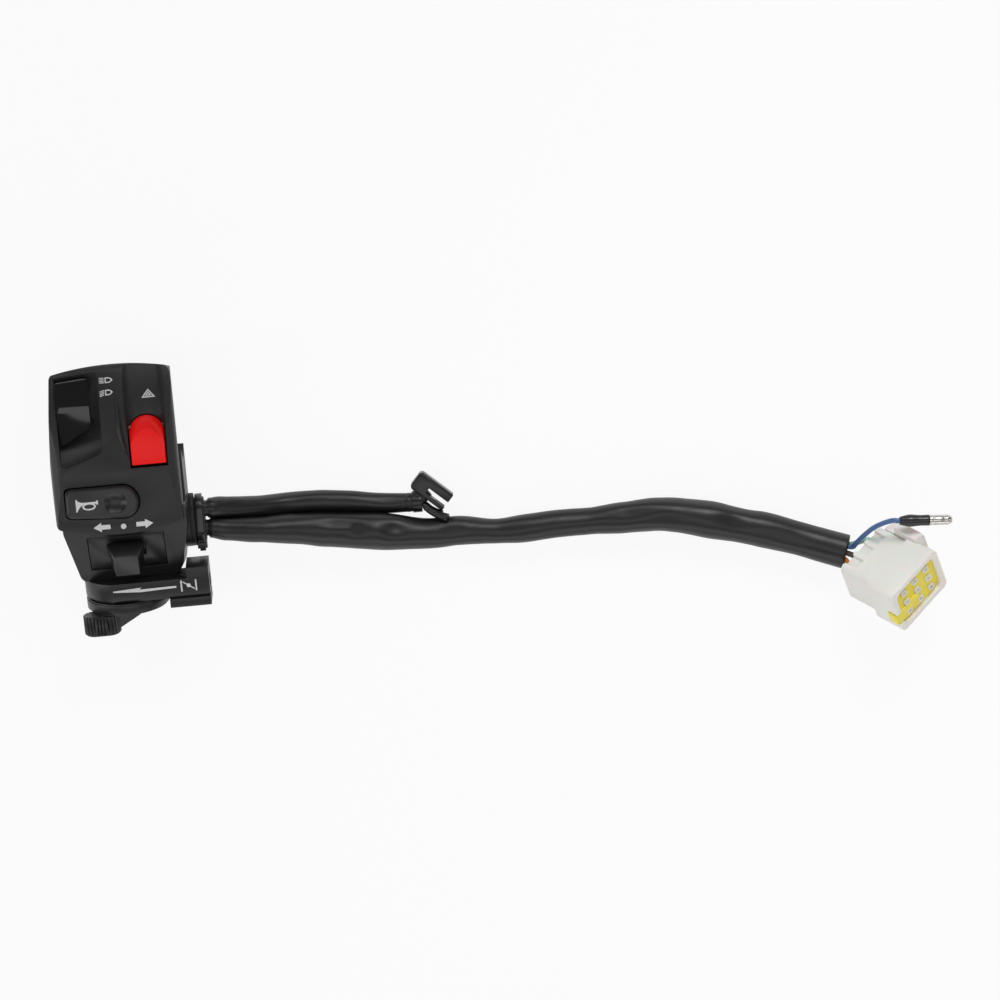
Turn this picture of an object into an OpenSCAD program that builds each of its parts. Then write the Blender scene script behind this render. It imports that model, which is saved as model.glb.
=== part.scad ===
// Left-hand switch cluster for a motorcycle handlebar, lying on its back with its harness.
// +X runs along the bar towards the cable, +Y up the face, +Z out of the face, in millimetres.
// The origin is on the bar axis, at mid width of the housing.

/* [Bar and housing] */
// Diameter of the handlebar
bar_d = 22.2; // [21:0.1:23]
// Width of the housing along the bar
housing_w = 44.6; // [43.6:0.2:48]
// Wall of both housing halves
wall = 2; // [1.8:0.1:2.2]
// Wall of the saddle round the bar
saddle_t = 2; // [1.6:0.1:2.2]
// Height of the face over the bar axis
face_h = 26; // [25.6:0.1:27]
// Depth of the back behind the bar axis
back_d = 18; // [17.8:0.1:20]
// Slope of the lower facet
facet_a = 31; // [29:0.5:33]
// Diameter of the two screws that close the housing
clamp_screw_d = 5; // [4:0.5:5]
// Diameter of the heads of those screws
clamp_head_d = 9; // [8:0.5:9]

/* [Dimmer rocker] */
// Width of the rocker
rocker_w = 12; // [11:0.25:12.5]
// Diameter of the rocker and hazard pivot pins
pin_d = 2; // [1.6:0.1:2.4]
// Angle between the rocker's two positions
rocker_throw = 8; // [5:0.5:8]

/* [Hazard switch] */
// Width of the red cap
cap_w = 12.9; // [11.5:0.1:13.2]
// Height of the cap's raised face over the housing
cap_rise = 3.6; // [2.5:0.1:4.5]

/* [Horn button] */
// Length of the button
horn_l = 27; // [24:0.5:28]
// Radius of its round end
horn_r = 6.3; // [5.5:0.1:6.6]
// Travel of the button
horn_travel = 2.5; // [1.5:0.1:2.8]
// Radius of the dimple for the thumb
dimple_r = 4.1; // [3:0.1:4.6]

/* [Turn signal] */
// Travel of the knob to each side
turn_travel = 4; // [3:0.25:4.5]
// Travel of the knob when it is pushed to cancel
cancel_travel = 1.5; // [1:0.1:1.7]
// Width of the knob's tip
tip_w = 8.7; // [7:0.1:10]
// Width of the knob's foot
foot_w = 14.2; // [12:0.1:15]
// Width of the window in the facet
window_w = 28.4; // [26:0.2:29]

/* [Choke lever] */
// Radius of the lever's disc
disc_r = 15.3; // [14.6:0.1:15.6]
// Thickness of the disc
disc_t = 4.3; // [3.8:0.1:4.6]
// Height of the choke base
base_h = 7.6; // [7.2:0.1:8]
// Height of the thumb knob under the disc
thumb_h = 7.3; // [6:0.1:9]
// Diameter of the bore for the ferrule of the choke cable
ferrule_d = 6; // [5:0.1:6.4]
// Lean of the choke axis out of the face plane
choke_lean = 12; // [10:0.5:13]

/* [Harness] */
// Diameter of both sleeves where they leave the gland
sleeve_exit_d = 6; // [5.4:0.1:6.2]
// Width of the cable tie
tie_w = 2.5; // [2:0.1:3]
// Length of the white connector along its plug direction
plug_l = 26.5; // [25.5:0.5:27.5]
// Width of the white connector
plug_w = 26; // [25:0.5:27]
// Height of the white connector
plug_h = 21.5; // [20.5:0.5:22.5]
// Diameter of the bullet terminal
bullet_d = 3.9; // [3.6:0.1:4]

/* [Clearances] */
// Gap between moving pieces
run_gap = 0.3; // [0.25:0.05:0.4]
// Radial gap of a pin or screw in its hole
pin_gap = 0.04; // [0.02:0.01:0.08]

/* [Hidden] */
$fn = 48;

e = 0.05;
far = 60;
bar_r = bar_d / 2;
saddle_r = bar_r + saddle_t;

// Outline of the face, whose top and right walls lean in towards the back
half_w = housing_w / 2;
top_left = half_w - 0.1;
top_right = half_w - 0.3;
bulge = half_w + 2.6;
bulge_y = -10;
lip_half = half_w + 0.7;
lip_left = lip_half + 1.4;
top_y = 25.4;
corner_y = 25.2;
lip_y = -31.4;
lip_bow = 4.7;
top_bow_r = 95;
lip_bow_r = 62;
top_lean = 6;
right_lean = 4;
crest_y = top_y + 2.4;
flank_y = 0.6;
flank_z = 9;

// Lower facet and the seat of the choke base under it
foot = [-53, face_h - 19];
lower_top_half = lip_half - 0.2;
lower_foot_half = lower_top_half - 4.4;
foot_r = [3.2, 5.4];
shoulder_y = -34;
lower_start_y = -26;

// Choke frame: x along the bar, y out of the face, z down and away from the housing
choke_x = -3;
choke_z = -0.6;
choke_y = foot.x + (foot.y - choke_z) * tan(choke_lean);

// Dimmer rocker
pocket_left = -half_w + wall - 0.2;
rocker_left = pocket_left + run_gap;
rocker_right = rocker_left + rocker_w;
pocket_right = rocker_right + 3.6;
rocker_x = rocker_left + 6;
rocker_y = 12;
rocker_reach = 14;
rocker_high = 11.8;
rocker_crest = 1.5;
rocker_low = 13;
rocker_drop = 3.6;
rocker_heel = 6;
rocker_z = face_h - 6.5;
pocket_floor = rocker_z - 2;
floor_t = 1.6;
pin_r = pin_d / 2;
ear_t = 1.6;
ear_x = 3.4;
leg_w = 3.6;
leg_d = 4.8;
dimmer_leg_end = rocker_z - 5.9;
dimmer_base_top = dimmer_leg_end - 1;
dimmer_base_t = 1.5;
dimmer_posts = [[rocker_x - 2.8, 18.8], [rocker_x + 5, 18.8]];
post_r = 1.9;

// Hazard switch
cap_x = 11.8;
cap_bottom = -9.8;
cap_top = 7.9;
cap_crest = 3.2;
cap_half = cap_w / 2;
cap_base_z = face_h - 1;
hazard_y = 4;
hazard_z = face_h - 4.6;
hazard_throw = 7;
hazard_skin = 3.5;
hazard_leg_y = -4;
hazard_leg_end = 16.5;
hazard_base_t = 1.3;
hazard_base_top = saddle_r + 0.4 + hazard_base_t;
hazard_posts = [[cap_x - 4.8, -13.4], [cap_x + 4.8, -13.4]];
cap_gap = 0.45;
cap_foot_gap = 1.1;
trough_y = 8;
trough_d = 3.1;
trough_a = 13.2;
trough_left = 5.6;
trough_right = 5.8;

// Detent plungers of the two rockers
plunger_r = 1.2;
plunger_bore_r = plunger_r + 0.1;
plunger_l = 1.8;
plunger_drop = 0.4;
plunger_bore_l = 3.6;

// Horn button
horn_left = -half_w + wall - 0.1;
horn_x = horn_left + horn_l - horn_r;
horn_y = -22.9;
horn_top = face_h + 1.2;
horn_flange_top = face_h - wall - 1.9;
horn_flange_t = 1.4;
horn_flange_w = 1;
horn_base_top = 11.6;
horn_base_t = 1.6;
horn_base_half = 7;
horn_posts = [[-14, -13], [horn_x + 9.6, -26.5]];
horn_post_r = 2.1;
dimple = [horn_x - 2.2, horn_y];
horn_stem_r = 1.6;
contact_t = 0.5;
horn_contact_gap = horn_travel + 0.1;

// Turn signal, in the facet's own frame: x along the bar, y up the slope, z out of the facet
turn_x = -0.4;
turn_at = [turn_x, -41.5, foot.y + (-41.5 - foot.x) * tan(facet_a)];
window_top = 6.4;
window_bottom = -8.5;
plate_gap = 0.25;
plate_t = wall + 0.15;
plate_sink = 0.15;
flange_t = 1.2;
flange_w = 1.6;
stem = 5;
slot_half = stem / 2 + turn_travel + 0.4;
slot_half_y = stem / 2 + 0.6;
knob_lift = cancel_travel + 0.9;
knob_h = 10;
flange_back = -(plate_sink + plate_t + flange_t);
carriage_top = flange_back - run_gap;
carriage_h = 5;
carriage_half = [6.5, 4.5];
pocket_wall = 0.8;
stem_end = carriage_top - 1;
rail_t = 1.5;
bridge_t = 0.5;
bridge_half = 4;
turn_contact_t = 0.5;
turn_floor = carriage_top - carriage_h - bridge_t - run_gap - turn_contact_t;
turn_base_t = 1.7;
turn_base_half = 13;
turn_screw_x = 11.9;

// Housing screws
clamp_r = clamp_screw_d / 2;
clamp_head_r = clamp_head_d / 2;
clamp_at = [[-1, 19.5], [half_w - 6.3, -19.5]];
clamp_boss_r = clamp_r + 1.6;
clamp_boss_h = [12, 10];
clamp_tip = 8;
clamp_seat = -back_d + 5;
clamp_head_h = 3.4;

// Choke
choke_flat = disc_r - 0.7;
choke_roof = 2.2;
choke_rim = 2;
arm_end = 31.5;
arm_back = 2;
ear_start = 23.3;
ear_rise = 4;
ferrule_at = [9, 2.9];
ferrule_tilt = 2.6;
reveal_h = 1.1;
reveal_in = 1.2;
pivot_r = 3;
pivot_thread_r = 2;
boss_r = 4.2;
disc_top = base_h + run_gap;
disc_bottom = disc_top + disc_t;
washer_t = 0.5;
washer_gap = 0.05;
thumb_at = [-9.8, 10.7];
thumb_spread = 2.3;
thumb_r = 4.5;
rib_r = 0.55;
rib_count = 18;
cover_start = disc_r + 1;
cover_t = 3.3;
small_screw_r = 1.2;
small_head_r = 2.2;
small_head_h = 1.4;
choke_screw_at = [[-8.4, -5.5], [8.4, -5.5]];
choke_screw_reach = 4;
choke_lug_r = 3.2;
choke_lug_h = choke_screw_reach + 1.5;
cover_screw_x = [arm_end - 12.3, arm_end - 3.3];
cover_screw_y = 4.6;

// Gland on the right wall
gland_y = -34.2;
gland_gap = 7.2;
gland_r = 4.5;
gland_wall = 1.6;
gland_out = lip_half + 0.05;
gland_in = gland_out - 6.5;
grommet_flange_t = 1.7;
grommet_flange_w = 1.7;
tie_x = gland_out + grommet_flange_t + 0.6;
grommet_tail = tie_x + tie_w + 0.6;
tie_t = 1.2;
bore_gap = 0.2;
exit_r = sleeve_exit_d / 2;
main_y = gland_y - gland_gap / 2;
branch_y = gland_y + gland_gap / 2;

// Harness: route points and radii, lying on the bench at the depth of the back
bench = -back_d + 0.05;
sleeve_wall = 0.9;
main_route = [[72.8, -43.8, 6.4], [91, -46.1, 6.8], [109, -48.8, 5.6], [121.6, -48.8, 5.5],
    [134.6, -50.4, 4.7], [146, -50.3, 5.3], [158, -49.8, 5.2], [170, -49.9, 5.1], [182.6, -49.7, 5.9],
    [194.5, -49.5, 6.3], [203, -50.6, 6.6], [214.5, -53.3, 7.1], [226.5, -56.8, 6.5], [234.5, -59, 6.7],
    [247.5, -63.6, 6.3], [256, -66.8, 6.4], [264, -69.8, 6.5]];
main_drop = [[36.5, -39.2, -1.2, 4], [47, -40.8, -5.2, 4.6], [60, -42.1, -9.2, 5.5]];
branch_route = [[59, -33.2, 4.1], [70, -33.3, 3.9], [81, -34.4, 3.7], [93, -36.1, 3.4], [104.6, -36.9, 3.4]];
branch_drop = [[35, -31.2, -3, 3.8], [47.5, -32.9, -9.6, 4]];
main_points = concat([[gland_in, main_y, 0], [grommet_tail + 1, main_y, 0]],
    [for (p = main_drop) [p[0], p[1], p[2]]], [for (p = main_route) [p[0], p[1], bench + p[2]]]);
main_radii = concat([exit_r, exit_r], [for (p = main_drop) p[3]], [for (p = main_route) p[2]]);
branch_points = concat([[gland_in, branch_y, 0], [grommet_tail + 1, branch_y, 0]],
    [for (p = branch_drop) [p[0], p[1], p[2]]], [for (p = branch_route) [p[0], p[1], bench + p[2]]]);
branch_radii = concat([exit_r, exit_r], [for (p = branch_drop) p[3]], [for (p = branch_route) p[2]]);

// Small connector on the branch
small_at = [112.5, -33, bench + 4.2];
small_turn = -42;
small_size = [15, 7.6, 8];
neck_r = 3.9;
neck_end = 108.5;
lead_r = 1.3;
lead_routes = [[[108.7, -38.6, -12.6], [109.6, -38.6, -12.6],
        [111.5, -40.2, -11.4], [114.6, -42.2, -9.6], [117.6, -43.1, -7.9]],
    [[108.7, -38.6, -15.9], [109.6, -38.6, -15.9],
        [111.2, -40.2, -16], [113.4, -41.6, -16.2], [115.6, -42.6, -16.4]]];

// White connector: x along the plug direction, y across, z up from its lower wall
plug_turn = [-29.8, -38, -30.6];
plug_at = [279.7, -79, bench + 20.4];
plug_wall = 2.2;
plug_step = 1.3;
collar_l = 12.5;
holder_sink = 1.4;
mouth_depth = 11.5;
cell_half = 1.6;
cell_pitch = [6.3, 5.2];
terminal = [2.6, 2.2];
latch_l = 15;
latch_w = 5;
latch_h = 8;
tongue_z = [-6.5, -0.5];

// Coloured wires between the sleeve and the connector, and the blue wire with its bullet
wire_r = 1.05;
wire_colors = ["mediumaquamarine", "dimgray", "darkorange", "seagreen"];
wire_starts = [[2.2, 0.2], [-0.4, 0.6], [-2.4, 2], [-2.8, -1.2]];
wire_cells = [[1, 1], [0, 0], [-1, 0], [-1, -1]];
blue_route = [[259.2, -65.5, -8.2], [266, -68, -8.2], [268, -66.4, -6], [270.6, -63.6, -2.4],
    [275, -60, 2.8], [280.4, -57.7, 8.6], [283.6, -57.9, 9.4], [286.4, -58.1, 9.3]];
bullet_from = [283.6, -57.9, 9.4];
bullet_turn = [0, 2, -4];
bullet_sleeve_l = 11;
bullet_l = 8.5;
bullet_r = bullet_d / 2;
barrel_r = bullet_r - 0.3;
bullet_sleeve_r = bullet_r + 0.45;

// Points of a fillet of radius r at p, between a and b
function fillet(a, p, b, r, n) = r <= 0 ? [p] :
    let (u = (a - p) / norm(a - p), v = (b - p) / norm(b - p), half = acos(u * v) / 2,
        c = p + (u + v) / norm(u + v) * r / sin(half), s = p + u * r / tan(half) - c,
        t = p + v * r / tan(half) - c, a0 = atan2(s.y, s.x), turn = atan2(t.y, t.x) - a0,
        sweep = turn > 180 ? turn - 360 : turn < -180 ? turn + 360 : turn)
    [for (i = [0 : n]) c + r * [cos(a0 + sweep * i / n), sin(a0 + sweep * i / n)]];

// Polygon with rounded corners from points [x, y, radius]
function rounded(q, n = 6) = let (m = len(q)) [for (i = [0 : m - 1])
    each fillet([q[(i + m - 1) % m].x, q[(i + m - 1) % m].y], [q[i].x, q[i].y],
        [q[(i + 1) % m].x, q[(i + 1) % m].y], q[i][2], n)];

// Place of the leaning right wall at depth z
function right_x(z) = half_w - 1.4 + z * tan(right_lean);

// Height of the facet and place of the choke seat at depth z, both moved in by a wall
function facet_z(y, inset) = foot.y + (y - foot.x) * tan(facet_a) - inset / cos(facet_a);
function seat_y(z, inset) = foot.x + (foot.y - z) * tan(choke_lean) + inset / cos(choke_lean);
function foot_z(inset) = foot.y + inset * (tan(facet_a) / cos(choke_lean) - 1 / cos(facet_a))
    / (1 + tan(facet_a) * tan(choke_lean));

// Swept tube along points with a radius at each
function unit(v) = v / norm(v);
function along(p, i) = unit(p[min(i + 1, len(p) - 1)] - p[max(i - 1, 0)]);
module tube(p, r, sides) {
    n = len(p);
    ring = [for (i = [0 : n - 1]) let (t = along(p, i), s = unit(cross(t, [0, 0, 1])), u = cross(s, t))
        each [for (k = [0 : sides - 1]) p[i] + r[i] * (cos(360 * k / sides) * s + sin(360 * k / sides)
            * u)]];
    walls = [for (i = [0 : n - 2], k = [0 : sides - 1]) let (a = i * sides + k, b = i * sides + (k + 1)
        % sides)
        each [[a, b, b + sides], [a, b + sides, a + sides]]];
    polyhedron(ring, concat([[for (k = [sides - 1 : -1 : 0]) k]], walls,
        [[for (k = [0 : sides - 1]) (n - 1) * sides + k]]));
}
module wire(p, r) tube(p, [for (q = p) r], 8);

// Coil spring of wire radius w standing on z = 0
module coil(r, w, length, turns) {
    steps = turns * 8;
    tube([for (i = [0 : steps]) [r * cos(45 * i), r * sin(45 * i), w + (length - 2 * w) * i / steps]],
        [for (i = [0 : steps]) w], 6);
}

// Prisms along the three axes
module along_x(length) rotate([90, 0, 90]) linear_extrude(length, center = true) children();
module along_y(length) rotate([90, 0, 0]) linear_extrude(length, center = true) children();
module slot2d(r, gap) {
    for (s = [-1, 1]) translate([s * gap / 2, 0]) circle(r);
    square([gap, 2 * r], center = true);
}

// Frames of the facet and of the choke
module facet_frame() translate(turn_at) rotate([facet_a, 0, 0]) children();
module choke_frame() translate([choke_x, choke_y, choke_z]) rotate([90 + choke_lean, 0, 0]) children();
module gland_slot(x0, x1, r) translate([x0, gland_y, 0]) rotate([90, 0, 90]) linear_extrude(x1 - x0)
    slot2d(r, gland_gap);

// Outer and inner forms of the housing, moved in by an inset
module face_outline(inset) polygon(rounded([
    [-top_left + inset, corner_y - inset, 2.5], [0, corner_y + 5.2 - inset, lip_bow_r],
    [top_right - inset, corner_y - inset, 4], [lip_half - inset, lip_y + inset, 2.5],
    [0, lip_y - lip_bow + inset, lip_bow_r], [-lip_left + inset, lip_y + inset, 2.5],
    [-bulge + inset, bulge_y, 60]]));
module top_cone(inset) translate([0, top_y - top_bow_r, -far / 2])
    cylinder(r1 = top_bow_r - far / 2 * tan(top_lean) - inset,
        r2 = top_bow_r + far / 2 * tan(top_lean) - inset, h = far);
module flank(inset, z0, z1) box(0, half_w + 0.2 - inset, lip_y + 1, flank_y - inset, z0, z1);
module lower_outline(inset) polygon(rounded([[-lower_top_half + inset, lower_start_y, 0],
    [-lower_top_half + inset, shoulder_y, 0], [-lower_foot_half + inset, foot.x - 0.3, foot_r[0]],
    [lower_foot_half - inset, foot.x - 0.3, foot_r[1]], [lower_top_half - inset, shoulder_y, 0],
    [lower_top_half - inset, lower_start_y, 0]]));
module upper_form(inset, z0) intersection() {
    translate([0, 0, z0]) linear_extrude(far) face_outline(inset);
    top_cone(inset);
    along_x(2 * far) polygon(rounded([[crest_y - inset, z0 - 1, 0],
        [crest_y - inset, face_h - 6.5 - inset, 5],
        [-4, face_h + 3.2 - inset, 100], [-45, face_h - 4.4 - inset, 0], [-45, z0 - 1, 0]]));
    along_y(2 * far) polygon(rounded([[-bulge - 0.6 + inset, z0 - 1, 0],
        [-bulge + 0.2 + inset, face_h + 0.6 - inset, 6], [0, face_h + 1.8 - inset, 120],
        [right_x(face_h + 0.6) - inset, face_h + 0.6 - inset, 6], [right_x(z0 - 1) - inset, z0 - 1, 0]]));
}
module lower_form(inset, z0) intersection() {
    translate([0, 0, z0]) linear_extrude(far) lower_outline(inset);
    along_x(2 * far) polygon([[lower_start_y, z0 - 1], [lower_start_y, facet_z(lower_start_y, inset)],
        [seat_y(foot_z(inset), inset), foot_z(inset)], [seat_y(z0 - 1, inset), z0 - 1]]);
}
module rear_form(inset, z1) intersection() {
    translate([0, 0, z1 - far]) linear_extrude(far) union() {
        face_outline(inset);
        lower_outline(inset);
    }
    top_cone(inset);
    along_x(2 * far) polygon(rounded([[crest_y - inset, z1 + 1, 0],
        [crest_y - 3.6 - inset, -back_d + inset, 9],
        [seat_y(-back_d, inset), -back_d + inset, 5], [seat_y(z1 + 1, inset), z1 + 1, 0]]));
    along_y(2 * far) polygon(rounded([[-bulge - 0.6 + inset, z1 + 1, 0],
        [-bulge + 0.8 + inset, -back_d + inset, 8], [right_x(-back_d) - inset, -back_d + inset, 8],
        [right_x(z1 + 1) - inset, z1 + 1, 0]]));
}
module bar_bore() rotate([0, 90, 0]) cylinder(r = bar_r, h = 2 * far, center = true);
module saddle() rotate([0, 90, 0]) cylinder(r = saddle_r, h = 2 * far, center = true);
module pin_x(r, x0, x1, y, z) translate([x0, y, z]) rotate([0, 90, 0]) cylinder(r = r, h = x1 - x0);
module box(x0, x1, y0, y1, z0, z1) translate([x0, y0, z0]) cube([x1 - x0, y1 - y0, z1 - z0]);

// Footprints of the controls
module rocker_outline() polygon(rounded([[rocker_left, rocker_y + 10.6, 1],
    [rocker_right, rocker_y + 11.5, 1.2],
    [rocker_right, rocker_y - 6.2, 3], [rocker_left, rocker_y - 12.8, 1]]));
module pocket_outline() polygon(rounded([[pocket_left, rocker_y + 11.8, 1],
    [pocket_right, rocker_y + 13.2, 1.6],
    [pocket_right, rocker_y - 16.4, 4.5], [pocket_left, rocker_y - 21.6, 2]]));
module cap_outline(gap, foot_gap) {
    translate([cap_x, cap_top - cap_half]) circle(cap_half + gap);
    translate([cap_x - cap_half - gap, cap_bottom - foot_gap])
        square([cap_w + 2 * gap, cap_top - cap_half - cap_bottom + foot_gap]);
}
module horn_outline(gap) let (x0 = horn_left + run_gap - gap, x1 = horn_x + horn_r + gap,
    end_r = 0.95 * (horn_r + gap))
    polygon(rounded([[x0, horn_y + horn_r + gap, 2], [x1, horn_y + horn_r + gap, end_r],
        [x1, horn_y - horn_r - gap, end_r], [x0, horn_y - horn_r * 0.7 - gap, 2]], 10));

// Solid stretches that stay in the front cavity
module front_keep() {
    translate([0, 0, pocket_floor - floor_t]) linear_extrude(far) offset(delta = floor_t) pocket_outline();
    intersection() {
        box(cap_x - cap_half - 2.4, half_w, -far, far, 0, far);
        along_x(2 * far) polygon([[crest_y, face_h - 10.1], [crest_y, far], [-12.6, far],
            [-12.6, face_h - hazard_skin]]);
    }
    saddle();
    for (p = dimmer_posts) translate([p.x, p.y, dimmer_base_top]) cylinder(r = post_r, h = far);
    for (p = hazard_posts) translate([p.x, p.y, hazard_base_top]) cylinder(r = post_r, h = far);
    for (p = horn_posts) translate([p.x, p.y, horn_base_top]) cylinder(r = horn_post_r, h = far);
    for (i = [0, 1]) translate([clamp_at[i].x, clamp_at[i].y, -1])
        cylinder(r = clamp_boss_r, h = clamp_boss_h[i] + 1);
    box(clamp_at[0].x - 2.5, clamp_at[0].x + 2.5, clamp_at[0].y, far, -1, clamp_boss_h[0]);
    box(clamp_at[1].x, far, clamp_at[1].y - 2.5, clamp_at[1].y + 2.5, -1, clamp_boss_h[1]);
    gland_slot(gland_in, far, gland_r + bore_gap + gland_wall);
    choke_lugs();
}
module choke_lugs() choke_frame() for (p = choke_screw_at) translate([p.x, p.y, -choke_lug_h])
    cylinder(r = choke_lug_r, h = choke_lug_h);
module choke_screw_holes() choke_frame() for (p = choke_screw_at)
    translate([p.x, p.y, -choke_screw_reach - 0.5])
    cylinder(r = small_screw_r + pin_gap, h = choke_screw_reach + 1);
module rocker_ears() for (s = [-1, 1]) translate([rocker_x + s * ear_x, rocker_y, pocket_floor - e]) {
    translate([0, 0, rocker_z - pocket_floor + e]) rotate([0, 90, 0])
        cylinder(r = 2, h = ear_t, center = true);
    translate([-ear_t / 2, -2, 0]) cube([ear_t, 4, rocker_z - pocket_floor + e]);
}
module dimmer_pocket() difference() {
    intersection() {
        translate([0, 0, pocket_floor]) linear_extrude(far) pocket_outline();
        along_x(2 * far) polygon([[far, pocket_floor], [rocker_y - 6, pocket_floor],
            [rocker_y - 14, pocket_floor + 3.4], [rocker_y - 22.4, face_h + 0.9],
            [rocker_y - 22.4, far], [far, far]]);
    }
    rocker_ears();
}
module hazard_trough() translate([cap_x, trough_y, face_h - trough_d]) rotate([-trough_a, 0, 0])
    along_y(3 * far) polygon(rounded([[-trough_left, 0, 4], [trough_right, 0, 4],
        [trough_right + far, far, 0], [-trough_left - far, far, 0]]));
module gland_boss() gland_slot(gland_in, gland_out, gland_r + bore_gap + gland_wall);

module front_housing() color([0.09, 0.09, 0.095]) difference() {
    union() {
        upper_form(0, 0);
        flank(0, 0, flank_z);
        lower_form(0, 0);
        intersection() {
            gland_boss();
            box(0, far, -far, far, 0, far);
        }
    }
    difference() {
        union() {
            upper_form(wall, -1);
            flank(wall, -1, flank_z - wall);
            lower_form(wall, -1);
        }
        front_keep();
    }
    bar_bore();
    dimmer_pocket();
    box(rocker_x - leg_w / 2 - 0.6, rocker_x + leg_w / 2 + 0.6, rocker_y - 4.2, rocker_y + 4.2,
        dimmer_leg_end - 3.6, rocker_z);
    pin_x(pin_r + pin_gap, rocker_x - ear_x - ear_t, rocker_x + ear_x + ear_t, rocker_y, rocker_z);
    hazard_trough();
    linear_extrude(far) cap_outline(cap_gap, cap_foot_gap);
    pin_x(pin_r + pin_gap, cap_x - cap_half - 2, cap_x + cap_half + 2, hazard_y, hazard_z);
    translate([0, 0, horn_base_top]) linear_extrude(far) horn_outline(run_gap + 0.2);
    facet_frame() translate([-window_w / 2, window_bottom, -4])
        cube([window_w, window_top - window_bottom, far]);
    for (p = dimmer_posts) translate([p.x, p.y, dimmer_base_top - 1]) cylinder(r = 0.8 + pin_gap, h = 3.6);
    for (p = hazard_posts) translate([p.x, p.y, hazard_base_top - 1]) cylinder(r = 0.8 + pin_gap, h = 3.6);
    for (p = horn_posts) translate([p.x, p.y, horn_base_top - 1]) cylinder(r = 0.8 + pin_gap, h = 3.6);
    for (p = clamp_at) translate([p.x, p.y, -1]) cylinder(r = clamp_r + pin_gap, h = clamp_tip + 2);
    gland_slot(0, far, gland_r + bore_gap);
    choke_screw_holes();
}

module rear_housing() color([0.09, 0.09, 0.095]) difference() {
    union() {
        rear_form(0, 0);
        flank(0, -flank_z, 0);
        intersection() {
            gland_boss();
            box(0, far, -far, far, -far, 0);
        }
    }
    difference() {
        union() {
            rear_form(wall, 1);
            flank(wall, -flank_z + wall, 1);
        }
        saddle();
        for (x = [-half_w / 2, half_w / 2]) box(x - 1, x + 1, -bar_r, bar_r, -far, -bar_r + 1);
        for (p = clamp_at) translate([p.x, p.y, -far]) cylinder(r = clamp_head_r + run_gap + wall,
            h = far + 1);
        gland_slot(gland_in, far, gland_r + bore_gap + gland_wall);
        choke_lugs();
    }
    bar_bore();
    for (p = clamp_at) translate([p.x, p.y, -far]) {
        cylinder(r = clamp_r + 0.2, h = far + 1);
        cylinder(r = clamp_head_r + run_gap, h = far + clamp_seat);
    }
    gland_slot(0, far, gland_r + bore_gap);
    choke_screw_holes();
}

module housing_screws() color("silver") for (p = clamp_at) translate([p.x, p.y, clamp_seat]) difference() {
    union() {
        cylinder(r = clamp_r, h = clamp_tip - clamp_seat);
        translate([0, 0, -clamp_head_h + 1]) cylinder(r = clamp_head_r, h = clamp_head_h - 1);
        translate([0, 0, -clamp_head_h]) cylinder(r1 = clamp_head_r - 0.8, r2 = clamp_head_r, h = 1);
    }
    for (a = [0, 90]) rotate(a) box(-2.6, 2.6, -0.5, 0.5, -far, -clamp_head_h + 1.8);
}

// Dimmer
module dimmer_leg_frame() translate([0, rocker_y, rocker_z]) rotate([rocker_throw / 2, 0, 0])
    translate([0, -rocker_y, -rocker_z]) children();
module dimmer_rocker() color([0.03, 0.03, 0.035]) dimmer_leg_frame() difference() {
    union() {
        intersection() {
            translate([0, 0, rocker_z - 0.3]) linear_extrude(far) rocker_outline();
            along_x(2 * far) polygon(rounded([[rocker_y + rocker_reach, 0, 0],
                [rocker_y + rocker_high, face_h - rocker_drop, 1.2],
                [rocker_y + rocker_crest, face_h - 0.3, 9], [rocker_y - rocker_low, face_h - 1.6, 1.2],
                [rocker_y - rocker_reach, face_h - rocker_drop, 0],
                [rocker_y - rocker_heel, rocker_z - 0.3, 0], [rocker_y - rocker_heel, 0, 0]], 8));
        }
        translate([rocker_x - leg_w / 2, rocker_y - leg_d / 2, dimmer_leg_end])
            cube([leg_w, leg_d, rocker_z + 3 - dimmer_leg_end]);
    }
    difference() {
        box(rocker_x - ear_x - 1.3, rocker_x + ear_x + 1.3, rocker_y - 5.2, rocker_y + 5.2, 0,
            rocker_z + 2.7);
        box(rocker_x - leg_w / 2, rocker_x + leg_w / 2, rocker_y - leg_d / 2, rocker_y + leg_d / 2, 0, far);
    }
    pin_x(pin_r + pin_gap, -far, far, rocker_y, rocker_z);
    translate([rocker_x, rocker_y, 0]) cylinder(r = plunger_bore_r, h = dimmer_leg_end + plunger_bore_l);
}
module dimmer_pivot_pin() color("silver")
    pin_x(pin_r, rocker_x - ear_x - ear_t / 2, rocker_x + ear_x + ear_t / 2, rocker_y, rocker_z);
module plunger(end) translate([0, 0, end - plunger_drop + 0.5]) {
    cylinder(r = plunger_r, h = plunger_l);
    translate([0, 0, -0.5]) cylinder(r1 = 0.6, r2 = plunger_r, h = 0.5);
}
module plunger_spring(end) translate([0, 0, end - plunger_drop + 0.5 + plunger_l + 0.03])
    coil(0.8, 0.2, plunger_bore_l + plunger_drop - plunger_l - 0.5 - 0.1, 2);
module dimmer_plunger() color("ivory") dimmer_leg_frame() translate([rocker_x, rocker_y, 0])
    plunger(dimmer_leg_end);
module dimmer_spring() color("silver") dimmer_leg_frame() translate([rocker_x, rocker_y, 0])
    plunger_spring(dimmer_leg_end);
module screw_bores(posts, top) for (p = posts) translate([p.x, p.y, top - 5])
    cylinder(r = 0.8 + pin_gap, h = 10);
module dimmer_contact_base() color("saddlebrown") difference() {
    box(pocket_left + 1.6, rocker_right + 1.2, 8.6, 20.9, dimmer_base_top - dimmer_base_t, dimmer_base_top);
    rotate([0, 90, 0]) cylinder(r = saddle_r + run_gap, h = 2 * far, center = true);
    screw_bores(dimmer_posts, dimmer_base_top);
    translate([rocker_x, rocker_y, dimmer_base_top - 0.5]) cylinder(r = 2.2, h = 2);
}
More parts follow.
